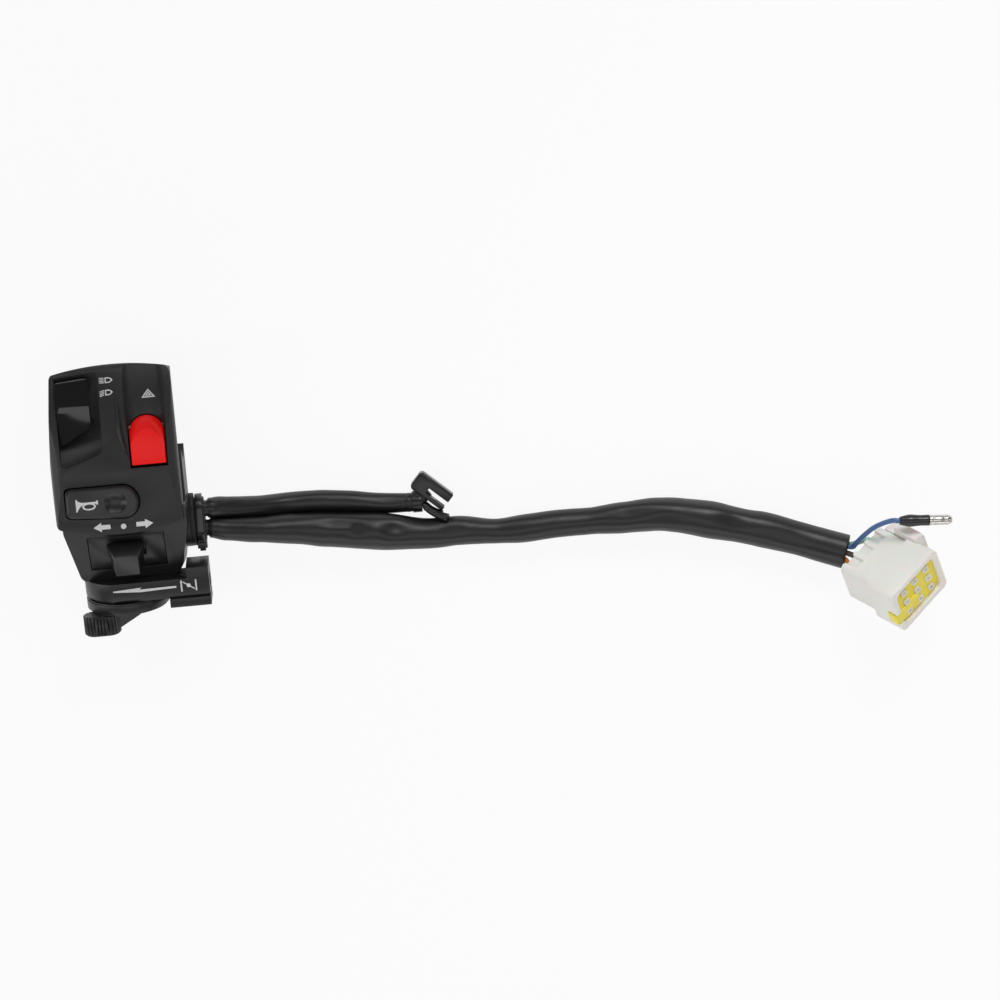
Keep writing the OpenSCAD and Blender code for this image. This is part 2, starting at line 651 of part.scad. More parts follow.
module dimmer_contacts() color("goldenrod") for (s = [-1, 1])
    box(rocker_x + s * 3 - 0.7, rocker_x + s * 3 + 0.7, 9.4, 16.4, dimmer_base_top, dimmer_base_top + 0.35);

// Hazard switch
module hazard_rocker() color([0.85, 0.07, 0.05]) difference() {
    union() {
        translate([0, 0, hazard_z - 2.6]) linear_extrude(cap_base_z - hazard_z + 2.6) cap_outline(0, 0);
        hull() {
            translate([0, 0, cap_base_z - 0.2]) linear_extrude(0.2, $fn = 32) cap_outline(0, 0);
            translate([0, cap_crest - cap_top, 0]) intersection() {
                translate([0, 0, cap_base_z + cap_rise]) linear_extrude(0.4, $fn = 32) cap_outline(-0.5, 0);
                translate([0, cap_top - cap_crest, 0]) box(-far, far, cap_bottom + 0.2, far, 0, far);
            }
        }
        translate([cap_x - leg_w / 2, hazard_leg_y - leg_d / 2, hazard_leg_end])
            cube([leg_w, leg_d, cap_base_z - hazard_leg_end]);
    }
    difference() {
        translate([0, 0, -1]) linear_extrude(cap_base_z - 0.8) cap_outline(-1.6, -1.6);
        box(cap_x - leg_w / 2, cap_x + leg_w / 2, hazard_leg_y - leg_d / 2, hazard_leg_y + leg_d / 2, 0,
            far);
        pin_x(2.4, -far, far, hazard_y, hazard_z);
    }
    pin_x(pin_r + pin_gap, -far, far, hazard_y, hazard_z);
    translate([cap_x, hazard_leg_y, 0]) cylinder(r = plunger_bore_r, h = hazard_leg_end + plunger_bore_l);
}
module hazard_pivot_pin() color("silver")
    pin_x(pin_r, cap_x - cap_half - 1.9, cap_x + cap_half + 1.9, hazard_y, hazard_z);
module hazard_plunger() color("ivory") translate([cap_x, hazard_leg_y, 0]) plunger(hazard_leg_end);
module hazard_spring() color("silver") translate([cap_x, hazard_leg_y, 0]) plunger_spring(hazard_leg_end);
module hazard_contact_base() color("saddlebrown") difference() {
    box(cap_x - 7, cap_x + 7, -15.6, -0.6, hazard_base_top - hazard_base_t, hazard_base_top);
    screw_bores(hazard_posts, hazard_base_top);
}
module hazard_contacts() color("goldenrod") for (s = [-1, 1])
    box(cap_x + s * 4.2 - 0.7, cap_x + s * 4.2 + 0.7, -9, -1.4, hazard_base_top, hazard_base_top + 0.35);

// Horn button
module dish(r, depth) let (ball = (r * r + depth * depth) / (2 * depth), open = asin(r / ball))
    translate([0, 0, ball - depth]) rotate_extrude() polygon(concat([[0, 0], [0, -ball]],
        [for (i = [1 : 6]) ball * [sin(open * i / 6), -cos(open * i / 6)]], [[r + 0.8, depth - ball + 1]]));
module horn_button() color([0.07, 0.07, 0.075]) difference() {
    union() {
        translate([0, 0, horn_flange_top - horn_flange_t])
            linear_extrude(horn_top - horn_flange_top + horn_flange_t - 1) horn_outline(0);
        hull() {
            translate([0, 0, horn_top - 1.2]) linear_extrude(0.2) horn_outline(0);
            translate([0, 0, horn_top - 0.2]) linear_extrude(0.2) horn_outline(-0.9);
        }
        intersection() {
            translate([0, 0, horn_flange_top - horn_flange_t]) linear_extrude(horn_flange_t)
                horn_outline(horn_flange_w);
            box(-lip_half + wall + 1.7, far, -far, far, 0, far);
        }
        translate([dimple.x, dimple.y, horn_base_top + contact_t + horn_contact_gap + contact_t])
            cylinder(r = horn_stem_r, h = horn_flange_top - horn_base_top - 2 * contact_t - horn_contact_gap);
    }
    translate([dimple.x, dimple.y, horn_top]) dish(dimple_r, 1.5);
}
module horn_spring() color("silver") translate([dimple.x, dimple.y, horn_base_top + e])
    coil(4, 0.4, horn_flange_top - horn_flange_t - horn_base_top - 2 * e, 4);
module horn_moving_contact() color("goldenrod")
    translate([dimple.x, dimple.y, horn_base_top + contact_t + horn_contact_gap])
        cylinder(r = 2.6, h = contact_t);
module horn_contact_base() color("saddlebrown") difference() {
    union() {
        box(horn_posts[0].x + 1.4, horn_posts[1].x + 3, horn_y - horn_base_half, horn_y + horn_base_half,
            horn_base_top - horn_base_t, horn_base_top);
        box(horn_posts[0].x - 3, horn_posts[0].x + 3, horn_y, horn_posts[0].y + 3,
            horn_base_top - horn_base_t, horn_base_top);
    }
    screw_bores(horn_posts, horn_base_top);
}
module horn_contacts() color("goldenrod") for (s = [-1, 1])
    box(dimple.x + s * 1.6 - 0.7, dimple.x + s * 1.6 + 0.7, dimple.y - 2.6, dimple.y + 2.6,
        horn_base_top, horn_base_top + contact_t);

// Turn signal
module turn_plate() color([0.1, 0.1, 0.105]) facet_frame() difference() {
    union() {
        translate([-window_w / 2 + plate_gap, window_bottom + plate_gap, -plate_sink - plate_t])
            cube([window_w - 2 * plate_gap, window_top - window_bottom - 2 * plate_gap, plate_t]);
        translate([-window_w / 2 - flange_w, window_bottom - flange_w, flange_back])
            cube([window_w + 2 * flange_w, window_top - window_bottom + 2 * flange_w, flange_t]);
    }
    box(-slot_half, slot_half, -slot_half_y, slot_half_y, -far, far);
    for (s = [-1, 1]) translate([s * turn_screw_x, 0, flange_back - 1])
        cylinder(r = 0.8 + pin_gap, h = 3.2);
}
module turn_knob() color([0.08, 0.08, 0.085]) facet_frame() {
    box(-stem / 2, stem / 2, -stem / 2, stem / 2, stem_end, knob_lift + 1);
    difference() {
        hull() {
            translate([0, 0.1, knob_lift]) linear_extrude(1.2)
                polygon(rounded([[-foot_w / 2, 5, 0.8], [foot_w / 2, 5, 0.8],
                [foot_w / 2 - 0.8, -5, 0.8], [-foot_w / 2 + 0.8, -5, 0.8]], 3));
            translate([0, -0.2, knob_h - 0.6]) linear_extrude(0.6)
                polygon(rounded([[-tip_w / 2, 4.4, 0.5], [tip_w / 2, 4.4, 0.5],
                [tip_w / 2, -4.4, 0.5], [-tip_w / 2, -4.4, 0.5]], 3));
        }
        for (s = [-1, 1]) translate([s * (foot_w / 2 + 0.6), -3.2, knob_lift - 1]) rotate([0, -s * 20, 0])
            box(-1.2, 1.2, -2.6, 4.6, 0, 5.2);
    }
}
module turn_carriage() color("ivory") facet_frame() difference() {
    box(-carriage_half.x, carriage_half.x, -carriage_half.y, carriage_half.y, carriage_top - carriage_h,
        carriage_top);
    box(-stem / 2 - 0.15, stem / 2 + 0.15, -stem / 2 - 0.15, stem / 2 + 0.15,
        carriage_top - carriage_h + pocket_wall, far);
}
module cancel_spring() color("silver") facet_frame() translate([0, 0,
    carriage_top - carriage_h + pocket_wall + e])
    coil(1.7, 0.25, stem_end - carriage_top + carriage_h - pocket_wall - 2 * e, 3);
module turn_bridge() color("goldenrod") facet_frame()
    box(-bridge_half, bridge_half, -1.2, 1.2, carriage_top - carriage_h - bridge_t,
        carriage_top - carriage_h);
module turn_contact_base() color("saddlebrown") facet_frame() difference() {
    box(-turn_base_half, turn_base_half, -carriage_half.y - run_gap - rail_t,
        carriage_half.y + run_gap + rail_t,
        turn_floor - turn_base_t, flange_back);
    box(-carriage_half.x - turn_travel - run_gap, carriage_half.x + turn_travel + run_gap,
        -carriage_half.y - run_gap,
        carriage_half.y + run_gap, turn_floor, far);
    for (s = [-1, 1]) translate([s * turn_screw_x, 0, -far]) cylinder(r = 0.8 + pin_gap, h = far);
}
module turn_contacts() color("goldenrod") facet_frame() for (s = [-1, 0, 1])
    box(s * 4.6 - 1.4, s * 4.6 + 1.4, -1.2, 1.2, turn_floor, turn_floor + turn_contact_t);

// Small screws of the four contact bases
module base_screw(length) {
    cylinder(r = 0.8, h = length);
    translate([0, 0, -1]) cylinder(r = 1.6, h = 1);
}
module base_screws() color("silver") {
    for (p = dimmer_posts) translate([p.x, p.y, dimmer_base_top - dimmer_base_t])
        base_screw(dimmer_base_t + 2.4);
    for (p = hazard_posts) translate([p.x, p.y, hazard_base_top - hazard_base_t])
        base_screw(hazard_base_t + 2.4);
    for (p = horn_posts) translate([p.x, p.y, horn_base_top - horn_base_t]) base_screw(horn_base_t + 2.4);
    facet_frame() for (s = [-1, 1]) translate([s * turn_screw_x, 0, turn_floor - turn_base_t])
        base_screw(flange_back - turn_floor + turn_base_t + 1);
}

// Choke
module choke_plan(inset) {
    intersection() {
        circle(disc_r - inset);
        translate([-far, -far]) square([2 * far, far + choke_flat - inset]);
    }
    translate([0, arm_back + inset]) square([arm_end - inset, choke_flat - arm_back - 2 * inset]);
}
module choke_base() color([0.08, 0.08, 0.085]) choke_frame() difference() {
    union() {
        linear_extrude(base_h - reveal_h) choke_plan(0);
        linear_extrude(base_h) choke_plan(reveal_in);
        translate([ear_start, arm_back, -ear_rise]) cube([arm_end - ear_start, choke_flat - arm_back,
            ear_rise + e]);
    }
    difference() {
        translate([0, 0, choke_roof]) linear_extrude(base_h) choke_plan(choke_rim);
        cylinder(r = boss_r, h = far);
        box(ear_start, far, -far, far, 0, far);
        for (x = cover_screw_x) translate([x, cover_screw_y, 0]) cylinder(r = small_screw_r + 1.2, h = far);
    }
    translate([0, 0, choke_roof + 0.6]) cylinder(r = pivot_thread_r + pin_gap, h = far);
    translate([(ear_start + arm_end) / 2, ferrule_at.x, ferrule_at.y]) rotate([0, 0, ferrule_tilt])
        translate([(ear_start - arm_end) / 2 - 1, 0, 0]) rotate([0, 90, 0])
        cylinder(r = ferrule_d / 2, h = far);
    for (p = choke_screw_at) translate([p.x, p.y, -1]) cylinder(r = small_screw_r + pin_gap, h = far);
    for (x = cover_screw_x) translate([x, cover_screw_y, base_h - 5])
        cylinder(r = small_screw_r + pin_gap, h = far);
}
module thumb_plan(r) hull() for (s = [-1, 1]) translate([thumb_at.x + s * thumb_spread, thumb_at.y])
    circle(r, $fn = 32);
module choke_lever() color([0.1, 0.1, 0.105]) choke_frame() difference() {
    union() {
        translate([0, 0, disc_top]) cylinder(r = disc_r - 0.5, h = disc_t);
        translate([0, 0, disc_top + 0.5]) cylinder(r = disc_r, h = disc_t - 1);
        translate([0, 0, disc_bottom - e]) linear_extrude(thumb_h + e) thumb_plan(thumb_r - rib_r);
        for (k = [0 : rib_count - 1]) let (a = 360 * k / rib_count, q = thumb_at
            + [(cos(a) > 0.1 ? 1 : cos(a) < -0.1 ? -1 : 0) * thumb_spread + (thumb_r - rib_r) * cos(a),
                (thumb_r - rib_r) * sin(a)])
            translate([q.x, q.y, disc_bottom - e]) cylinder(r = rib_r, h = thumb_h - 0.4, $fn = 16);
        translate([0, thumb_at.y + 1.2, 0]) rotate([90, 0, 0]) linear_extrude(2.6)
            polygon([[thumb_at.x, disc_bottom - e],
            [5.6, disc_bottom - e], [4.6, disc_bottom + 1], [thumb_at.x + 5, disc_bottom + 6.4],
                [thumb_at.x, disc_bottom + 7]]);
        translate([0, -boss_r - 4, disc_top - 2.6]) cylinder(r = 2.2, h = 3);
    }
    cylinder(r = pivot_r + pin_gap, h = far);
    translate([0, 0, disc_top]) cylinder(r = boss_r + run_gap, h = 0.2);
}
module choke_pivot_screw() color("silver") choke_frame() difference() {
    union() {
        translate([0, 0, choke_roof + 0.8]) cylinder(r = pivot_thread_r, h = base_h - choke_roof - 0.8 + e);
        translate([0, 0, base_h])
            cylinder(r = pivot_r, h = disc_bottom + washer_t + 2 * washer_gap - base_h + e);
        translate([0, 0, disc_bottom + washer_t + 2 * washer_gap]) cylinder(r = 5, h = 1.8);
    }
    for (a = [0, 90]) rotate(a) box(-2.4, 2.4, -0.5, 0.5, disc_bottom + washer_t + 1.1, far);
}
module choke_washer() color("silver") choke_frame() translate([0, 0, disc_bottom + washer_gap])
    difference() {
    cylinder(r = 5.2, h = washer_t);
    translate([0, 0, -1]) cylinder(r = pivot_r + pin_gap, h = far);
}
module choke_cover() color([0.08, 0.08, 0.085]) choke_frame() difference() {
    intersection() {
        box(cover_start, arm_end, arm_back, choke_flat, base_h, base_h + cover_t);
        translate([0, 0, base_h]) rotate([0, 0, 0]) linear_extrude(cover_t)
            polygon(rounded([[cover_start, arm_back, 1],
            [cover_start, choke_flat + e, 0], [arm_end, choke_flat + e, 0], [arm_end, arm_back, 1]], 4));
    }
    for (x = cover_screw_x) translate([x, cover_screw_y, 0]) {
        cylinder(r = small_screw_r + pin_gap, h = far);
        translate([0, 0, base_h + cover_t - small_head_h]) cylinder(r = small_head_r + 0.1, h = far);
    }
}
module small_screw(length) {
    cylinder(r = small_screw_r, h = length);
    translate([0, 0, -small_head_h]) cylinder(r = small_head_r, h = small_head_h);
}
module choke_screws() color("silver") choke_frame() {
    for (p = choke_screw_at) translate([p.x, p.y, choke_roof]) mirror([0, 0, 1])
        small_screw(choke_roof + choke_screw_reach);
    for (x = cover_screw_x) translate([x, cover_screw_y, base_h + cover_t - small_head_h]) mirror([0, 0, 1])
        small_screw(cover_t - small_head_h + 4);
}

// Gland, tie and harness
module cable_grommet() color([0.06, 0.06, 0.06]) difference() {
    union() {
        gland_slot(gland_in, grommet_tail, gland_r);
        gland_slot(gland_out, gland_out + grommet_flange_t, gland_r + grommet_flange_w);
    }
    for (y = [main_y, branch_y]) pin_x(exit_r + bore_gap, 0, far, y, 0);
}
module cable_tie() color([0.05, 0.05, 0.05]) {
    difference() {
        union() {
            gland_slot(tie_x, tie_x + tie_w, gland_r + 0.15 + tie_t);
            box(tie_x - 0.5, tie_x + tie_w + 0.5, main_y - gland_r - 2.8, main_y - gland_r, -2.4, 2.4);
        }
        gland_slot(0, far, gland_r + 0.15);
    }
    box(tie_x + 0.2, tie_x + tie_w - 0.2, main_y - gland_r - 3.9, main_y - gland_r - 2.6, -0.6, 0.6);
}
module main_sleeve() color([0.05, 0.05, 0.055]) difference() {
    tube(main_points, main_radii, 12);
    main_mouth();
}
module main_mouth() {
    n = len(main_points);
    step = main_points[n - 1] - main_points[n - 2];
    tube([main_points[n - 2], main_points[n - 1], main_points[n - 1] + step],
        [for (i = [0 : 2]) main_radii[n - 1] - sleeve_wall], 12);
}
module branch_sleeve() color([0.05, 0.05, 0.055]) tube(branch_points, branch_radii, 12);
module small_frame() translate(small_at) rotate([0, 0, small_turn]) children();
module branch_connector() color([0.05, 0.05, 0.055]) {
    difference() {
        union() {
            small_frame() intersection() {
                translate([0, 0, -small_size.z / 2]) linear_extrude(small_size.z) polygon(rounded([
                    [-small_size.x / 2, -small_size.y / 2, 1.6], [small_size.x / 2, -small_size.y / 2, 0.6],
                    [small_size.x / 2, small_size.y / 2, 0.6],
                        [-small_size.x / 2, small_size.y / 2, 1.6]]));
                along_x(far) polygon(rounded([[-small_size.y / 2, -small_size.z / 2, 1],
                    [small_size.y / 2, -small_size.z / 2, 1],
                    [small_size.y / 2, small_size.z / 2, 1], [-small_size.y / 2, small_size.z / 2, 1]]));
            }
            pin_x(neck_r, branch_points[len(branch_points) - 1].x + 0.45, neck_end,
                branch_points[len(branch_points) - 1].y, branch_points[len(branch_points) - 1].z + 0.3);
        }
        small_frame() for (s = [-1, 1]) box(small_size.x / 2 - 4, far, s * 1.7 - 1.1, s * 1.7 + 1.1,
            -1.6, 1.6);
    }
}
module branch_leads() color([0.05, 0.05, 0.055]) for (p = lead_routes) wire(p, lead_r);
module plug_frame() translate(plug_at) rotate(plug_turn) children();
module cell_grid() for (j = [-1 : 1], k = [-1 : 1]) translate([0, j * cell_pitch.x, k * cell_pitch.y])
    children();
module plug_section(inset) polygon(rounded([[-plug_w / 2 + inset, -plug_h / 2 + inset, 2.2],
    [plug_w / 2 - inset, -plug_h / 2 + inset, 2.2], [plug_w / 2 - inset, plug_h / 2 - inset, 2.2],
    [-plug_w / 2 + inset, plug_h / 2 - inset, 2.2]], 4));
module plug_prism(x0, x1) translate([x0, 0, 0]) rotate([90, 0, 90]) linear_extrude(x1 - x0) children();
module connector_housing() color([0.93, 0.91, 0.88]) plug_frame() difference() {
    union() {
        plug_prism(-plug_l / 2, plug_l / 2 - 1) plug_section(plug_step);
        plug_prism(plug_l / 2 - collar_l, plug_l / 2) plug_section(0);
        box(-plug_l / 2 + 2.5, -plug_l / 2 + 2.5 + latch_l, plug_w / 2 - plug_step - e,
            plug_w / 2 - plug_step + latch_w, plug_h / 2 - 2 - latch_h, plug_h / 2 - 2);
    }
    plug_prism(plug_l / 2 - mouth_depth, far) plug_section(plug_wall);
    cell_grid() box(-far, far, -cell_half, cell_half, -cell_half, cell_half);
    for (j = [-1 : 1]) box(-far, -plug_l / 2 + 5.5, j * cell_pitch.x - 2.2, j * cell_pitch.x + 2.2,
        plug_h / 2 - plug_step - 1.5, far);
    box(-plug_l / 2 + 1, far, plug_w / 2 + 0.4, plug_w / 2 + 2, plug_h / 2 - latch_h, plug_h / 2 - 4);
    box(plug_l / 2 - 5, far, -far, 0, tongue_z[0], tongue_z[1]);
}
module terminal_holder() color([0.98, 0.84, 0.16]) plug_frame() difference() {
    union() {
        plug_prism(plug_l / 2 - mouth_depth, plug_l / 2 - holder_sink) plug_section(plug_wall + run_gap);
        box(plug_l / 2 - 5 + run_gap, plug_l / 2 - 0.6, -plug_w / 2 - 0.4, 0, tongue_z[0] + run_gap,
            tongue_z[1] - run_gap);
    }
    cell_grid() box(0, far, -terminal.x / 2 - 0.1, terminal.x / 2 + 0.1, -terminal.y / 2 - 0.1,
        terminal.y / 2 + 0.1);
}
module connector_terminals() color("gainsboro") plug_frame() cell_grid() difference() {
    box(plug_l / 2 - mouth_depth, plug_l / 2 - holder_sink + 0.9, -terminal.x / 2, terminal.x / 2,
        -terminal.y / 2, terminal.y / 2);
    box(plug_l / 2 - 4, far, -terminal.x / 2 + 0.6, terminal.x / 2 - 0.6, -0.4, 0.4);
}

// A wire from inside the sleeve's end into one of the connector's cells
function turned(v) = let (a = plug_turn.x, b = plug_turn.y, c = plug_turn.z,
        p = [v.x, v.y * cos(a) - v.z * sin(a), v.y * sin(a) + v.z * cos(a)],
        q = [p.x * cos(b) + p.z * sin(b), p.y, -p.x * sin(b) + p.z * cos(b)])
    [q.x * cos(c) - q.y * sin(c), q.x * sin(c) + q.y * cos(c), q.z];
function cell_point(c, x) = plug_at + turned([x, c.x * cell_pitch.x, c.y * cell_pitch.y]);
function bezier(p, n) = [for (i = [0 : n]) let (t = i / n, s = 1 - t)
    s * s * s * p[0] + 3 * s * s * t * p[1] + 3 * s * t * t * p[2] + t * t * t * p[3]];
function link(i) = let (n = len(main_points), d = unit(main_points[n - 1] - main_points[n - 2]),
        side = unit(cross(d, [0, 0, 1])), a = main_points[n - 1] - side * wire_starts[i].x + [0, 0,
            wire_starts[i].y])
    concat([a - 6 * d], bezier([a - 2 * d, a + 3 * d, cell_point(wire_cells[i], -plug_l / 2 - 5),
        cell_point(wire_cells[i], -plug_l / 2 - 0.5)], 5), [cell_point(wire_cells[i], -plug_l / 2 + 4)]);
module connector_wires() for (i = [0 : len(wire_cells) - 1]) color(wire_colors[i]) wire(link(i), wire_r);
module blue_wire() color([0.22, 0.36, 0.62]) wire(blue_route, wire_r);
module bullet_frame() translate(bullet_from) rotate(bullet_turn) rotate([0, 90, 0]) children();
module bullet_sleeve() color([0.05, 0.05, 0.05]) bullet_frame() difference() {
    union() {
        cylinder(r1 = bullet_sleeve_r - 0.9, r2 = bullet_sleeve_r, h = 3);
        translate([0, 0, 3 - e]) cylinder(r = bullet_sleeve_r, h = bullet_sleeve_l - 3 + e);
    }
    translate([0, 0, -1]) cylinder(r = wire_r + 0.35, h = 6);
    translate([0, 0, 4]) cylinder(r = barrel_r + pin_gap, h = far);
}
module bullet_terminal() color("silver") bullet_frame() {
    translate([0, 0, 4.2]) cylinder(r = barrel_r, h = bullet_sleeve_l - 4);
    translate([0, 0, bullet_sleeve_l]) cylinder(r = bullet_r, h = bullet_l - 1.6);
    translate([0, 0, bullet_sleeve_l + bullet_l - 1.6]) cylinder(r1 = bullet_r, r2 = bullet_r - 0.9,
        h = 1.6);
}

front_housing();
rear_housing();
housing_screws();
dimmer_rocker();
dimmer_pivot_pin();
dimmer_plunger();
dimmer_spring();
dimmer_contact_base();
dimmer_contacts();
hazard_rocker();
hazard_pivot_pin();
hazard_plunger();
hazard_spring();
hazard_contact_base();
hazard_contacts();
horn_button();
horn_spring();
horn_moving_contact();
horn_contact_base();
horn_contacts();
turn_plate();
turn_knob();
turn_carriage();
cancel_spring();
turn_bridge();
turn_contact_base();
turn_contacts();
base_screws();
choke_base();
choke_lever();
choke_pivot_screw();
choke_washer();
choke_cover();
choke_screws();
cable_grommet();
cable_tie();
main_sleeve();
branch_sleeve();
branch_connector();
branch_leads();
connector_housing();
terminal_holder();
connector_terminals();
connector_wires();
blue_wire();
bullet_sleeve();
bullet_terminal();
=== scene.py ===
import math

import bpy
from mathutils import Euler, Matrix, Vector, noise


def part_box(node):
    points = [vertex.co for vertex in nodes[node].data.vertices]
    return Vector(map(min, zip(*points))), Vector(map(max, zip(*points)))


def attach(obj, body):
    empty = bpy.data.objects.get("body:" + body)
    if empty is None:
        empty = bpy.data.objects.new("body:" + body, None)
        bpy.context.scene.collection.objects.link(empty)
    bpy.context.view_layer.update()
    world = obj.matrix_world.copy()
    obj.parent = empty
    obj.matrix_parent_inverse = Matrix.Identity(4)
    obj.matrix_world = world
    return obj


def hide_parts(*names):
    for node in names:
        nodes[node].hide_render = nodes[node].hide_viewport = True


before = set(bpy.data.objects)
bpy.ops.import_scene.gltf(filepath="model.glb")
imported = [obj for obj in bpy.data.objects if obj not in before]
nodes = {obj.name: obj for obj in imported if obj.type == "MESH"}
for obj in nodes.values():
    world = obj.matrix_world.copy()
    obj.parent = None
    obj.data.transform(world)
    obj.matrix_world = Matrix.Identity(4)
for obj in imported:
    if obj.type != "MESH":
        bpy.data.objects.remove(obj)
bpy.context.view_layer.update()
scene = bpy.context.scene
scene.view_settings.view_transform = "Standard"
mm = 0.001
print("frame:", len(nodes), "nodes")


def clearSelection():
    if bpy.context.object and bpy.context.object.mode != "OBJECT":
        bpy.ops.object.mode_set(mode="OBJECT")
    bpy.ops.object.select_all(action="DESELECT")


def pick(piece):
    clearSelection()
    piece.select_set(True)
    bpy.context.view_layer.objects.active = piece
    return piece


# camera, looking down on the bench from two metres, a little to the top side

cameraLook = {"target": (0.1377, -0.0376, 0.0), "distance": 2.0, "tilt": 6.0, "roll": 5.3, "span": 0.37,
              "sensor": 36, "clip": (0.05, 20)}


def addCamera(look):
    tilt, roll = math.radians(look["tilt"]), math.radians(look["roll"])
    right = Vector((math.cos(roll), -math.sin(roll), 0))
    upSlope = Vector((math.sin(roll), math.cos(roll), 0))
    up = upSlope * math.cos(tilt) - Vector((0, 0, math.sin(tilt)))
    back = upSlope * math.sin(tilt) + Vector((0, 0, math.cos(tilt)))
    bpy.ops.object.camera_add()
    camera = bpy.context.object
    camera.name = "benchCamera"
    turn = Matrix((right, up, back)).transposed().to_4x4()
    camera.matrix_world = Matrix.Translation(Vector(look["target"]) + back * look["distance"]) @ turn
    camera.data.sensor_width = look["sensor"]
    camera.data.lens = look["sensor"] * look["distance"] / look["span"]
    camera.data.clip_start, camera.data.clip_end = look["clip"]
    scene.camera = camera


addCamera(cameraLook)
print("camera placed")


# shader graph: sockets take arithmetic, every other node comes from node()

class Tap:
    def __init__(self, look, out):
        self.look, self.out = look, out

    def calc(self, operation, a, b):
        return self.look.node("ShaderNodeMath", {"operation": operation}, {0: a, 1: b})

    def __add__(self, other):
        return self.calc("ADD", self, other)

    def __radd__(self, other):
        return self.calc("ADD", other, self)

    def __mul__(self, other):
        return self.calc("MULTIPLY", self, other)

    def __rmul__(self, other):
        return self.calc("MULTIPLY", other, self)

    def part(self, name):
        return Tap(self.look, self.out.node.outputs[name])


class Look:
    def __init__(self, name):
        self.material = bpy.data.materials.new(name)
        self.material.use_nodes = True
        self.tree = self.material.node_tree
        self.shader = self.tree.nodes["Principled BSDF"]
        self.place = self.node("ShaderNodeTexCoord").part("Object")

    def join(self, value, socket):
        if isinstance(value, Tap):
            self.tree.links.new(value.out, socket)
        else:
            socket.default_value = value

    def node(self, kind, settings=None, sockets=None):
        made = self.tree.nodes.new(kind)
        for key, value in (settings or {}).items():
            setattr(made, key, value)
        for key, value in (sockets or {}).items():
            self.join(value, made.inputs[key])
        return Tap(self, made.outputs[0])

    def grain(self, scale, detail=2.0, rough=0.5, place=None):
        return self.node("ShaderNodeTexNoise", None, {"Vector": place or self.place, "Scale": scale,
                                                      "Detail": detail, "Roughness": rough})

    def mix(self, factor, low, high):      # a Mix node's colour sockets are its seventh and eighth
        return self.node("ShaderNodeMix", {"data_type": "RGBA"}, {"Factor": factor, 6: low, 7: high}).part(2)

    def bump(self, height, strength, distance):
        return self.node("ShaderNodeBump", None, {"Height": height, "Strength": strength,
                                                  "Distance": distance})

    def feed(self, **sockets):
        names = {"color": "Base Color", "rough": "Roughness", "metal": "Metallic", "coat": "Coat Weight",
                 "coatRough": "Coat Roughness", "normal": "Normal", "soft": "Subsurface Weight",
                 "softScale": "Subsurface Scale", "specular": "Specular IOR Level"}
        for key, value in sockets.items():
            self.join(value, self.shader.inputs[names[key]])
        return self.material


def grey(value):
    return (value, value, value, 1.0)


# moulded black plastic: fine spark-eroded grain, faint handling sheen
def mouldedBlack(name, level, rough, grainDepth):
    look = Look(name)
    fine = look.grain(5200, 2, 0.6)
    patch = look.grain(95, 3, 0.55)
    tone = look.mix(patch, grey(level * 0.86), (level * 1.16, level * 1.15, level * 1.18, 1))
    return look.feed(color=tone, rough=rough - 0.05 + patch * 0.1 + fine * 0.03, specular=0.5,
                     normal=look.bump(fine, 0.35, grainDepth))


def glossyBlack(name, level, rough):
    look = Look(name)
    haze = look.grain(160, 3, 0.6)
    wave = look.grain(420, 1, 0.4)
    return look.feed(color=look.mix(haze, grey(level * 0.8), grey(level * 1.2)), rough=rough + haze * 0.05,
                     specular=0.5, coat=0.2 + haze * 0.1, coatRough=0.05,
                     normal=look.bump(wave, 0.06, 0.00004))


def colouredPlastic(name, low, high, rough, soft, depth=0.0015, shine=0.5):
    look = Look(name)
    cloud = look.grain(120, 3, 0.5)
    fine = look.grain(4200, 2, 0.6)
    return look.feed(color=look.mix(cloud, (*low, 1), (*high, 1)), rough=rough - 0.04 + cloud * 0.08,
                     soft=soft, softScale=depth, specular=shine, normal=look.bump(fine, 0.2, 0.00003))


# plasticised sleeve: drawn lengthwise, with soft dents and a greasy shine
def vinyl(name, level, rough):
    look = Look(name)
    stretched = look.node("ShaderNodeMapping", None, {"Vector": look.place, "Scale": (0.25, 1, 1)})
    crease = look.grain(260, 3, 0.55, stretched)
    smear = look.grain(70, 3, 0.6)
    fine = look.grain(3000, 2, 0.5)
    return look.feed(color=look.mix(smear, grey(level * 0.85), grey(level * 1.3)),
                     rough=rough - 0.06 + smear * 0.16 + fine * 0.03, specular=0.55,
                     normal=look.bump(crease + fine * 0.1, 0.14, 0.0004))


def metal(name, tint, rough, scale):
    look = Look(name)
    turned = look.node("ShaderNodeMapping", None, {"Vector": look.place, "Scale": (1, 8, 1)})
    streak = look.grain(scale, 3, 0.6, turned)
    dull = look.grain(210, 3, 0.6)
    dark = tuple(t * 0.72 for t in tint)
    return look.feed(color=look.mix(dull, (*dark, 1), (*tint, 1)), metal=1.0,
                     rough=rough - 0.06 + streak * 0.14, normal=look.bump(streak, 0.12, 0.00003))


def printedWhite(name):
    look = Look(name)
    speck = look.grain(2600, 2, 0.6)
    return look.feed(color=look.mix(speck, grey(0.62), grey(0.8)), rough=0.5 + speck * 0.1,
                     normal=look.bump(speck, 0.15, 0.00002))


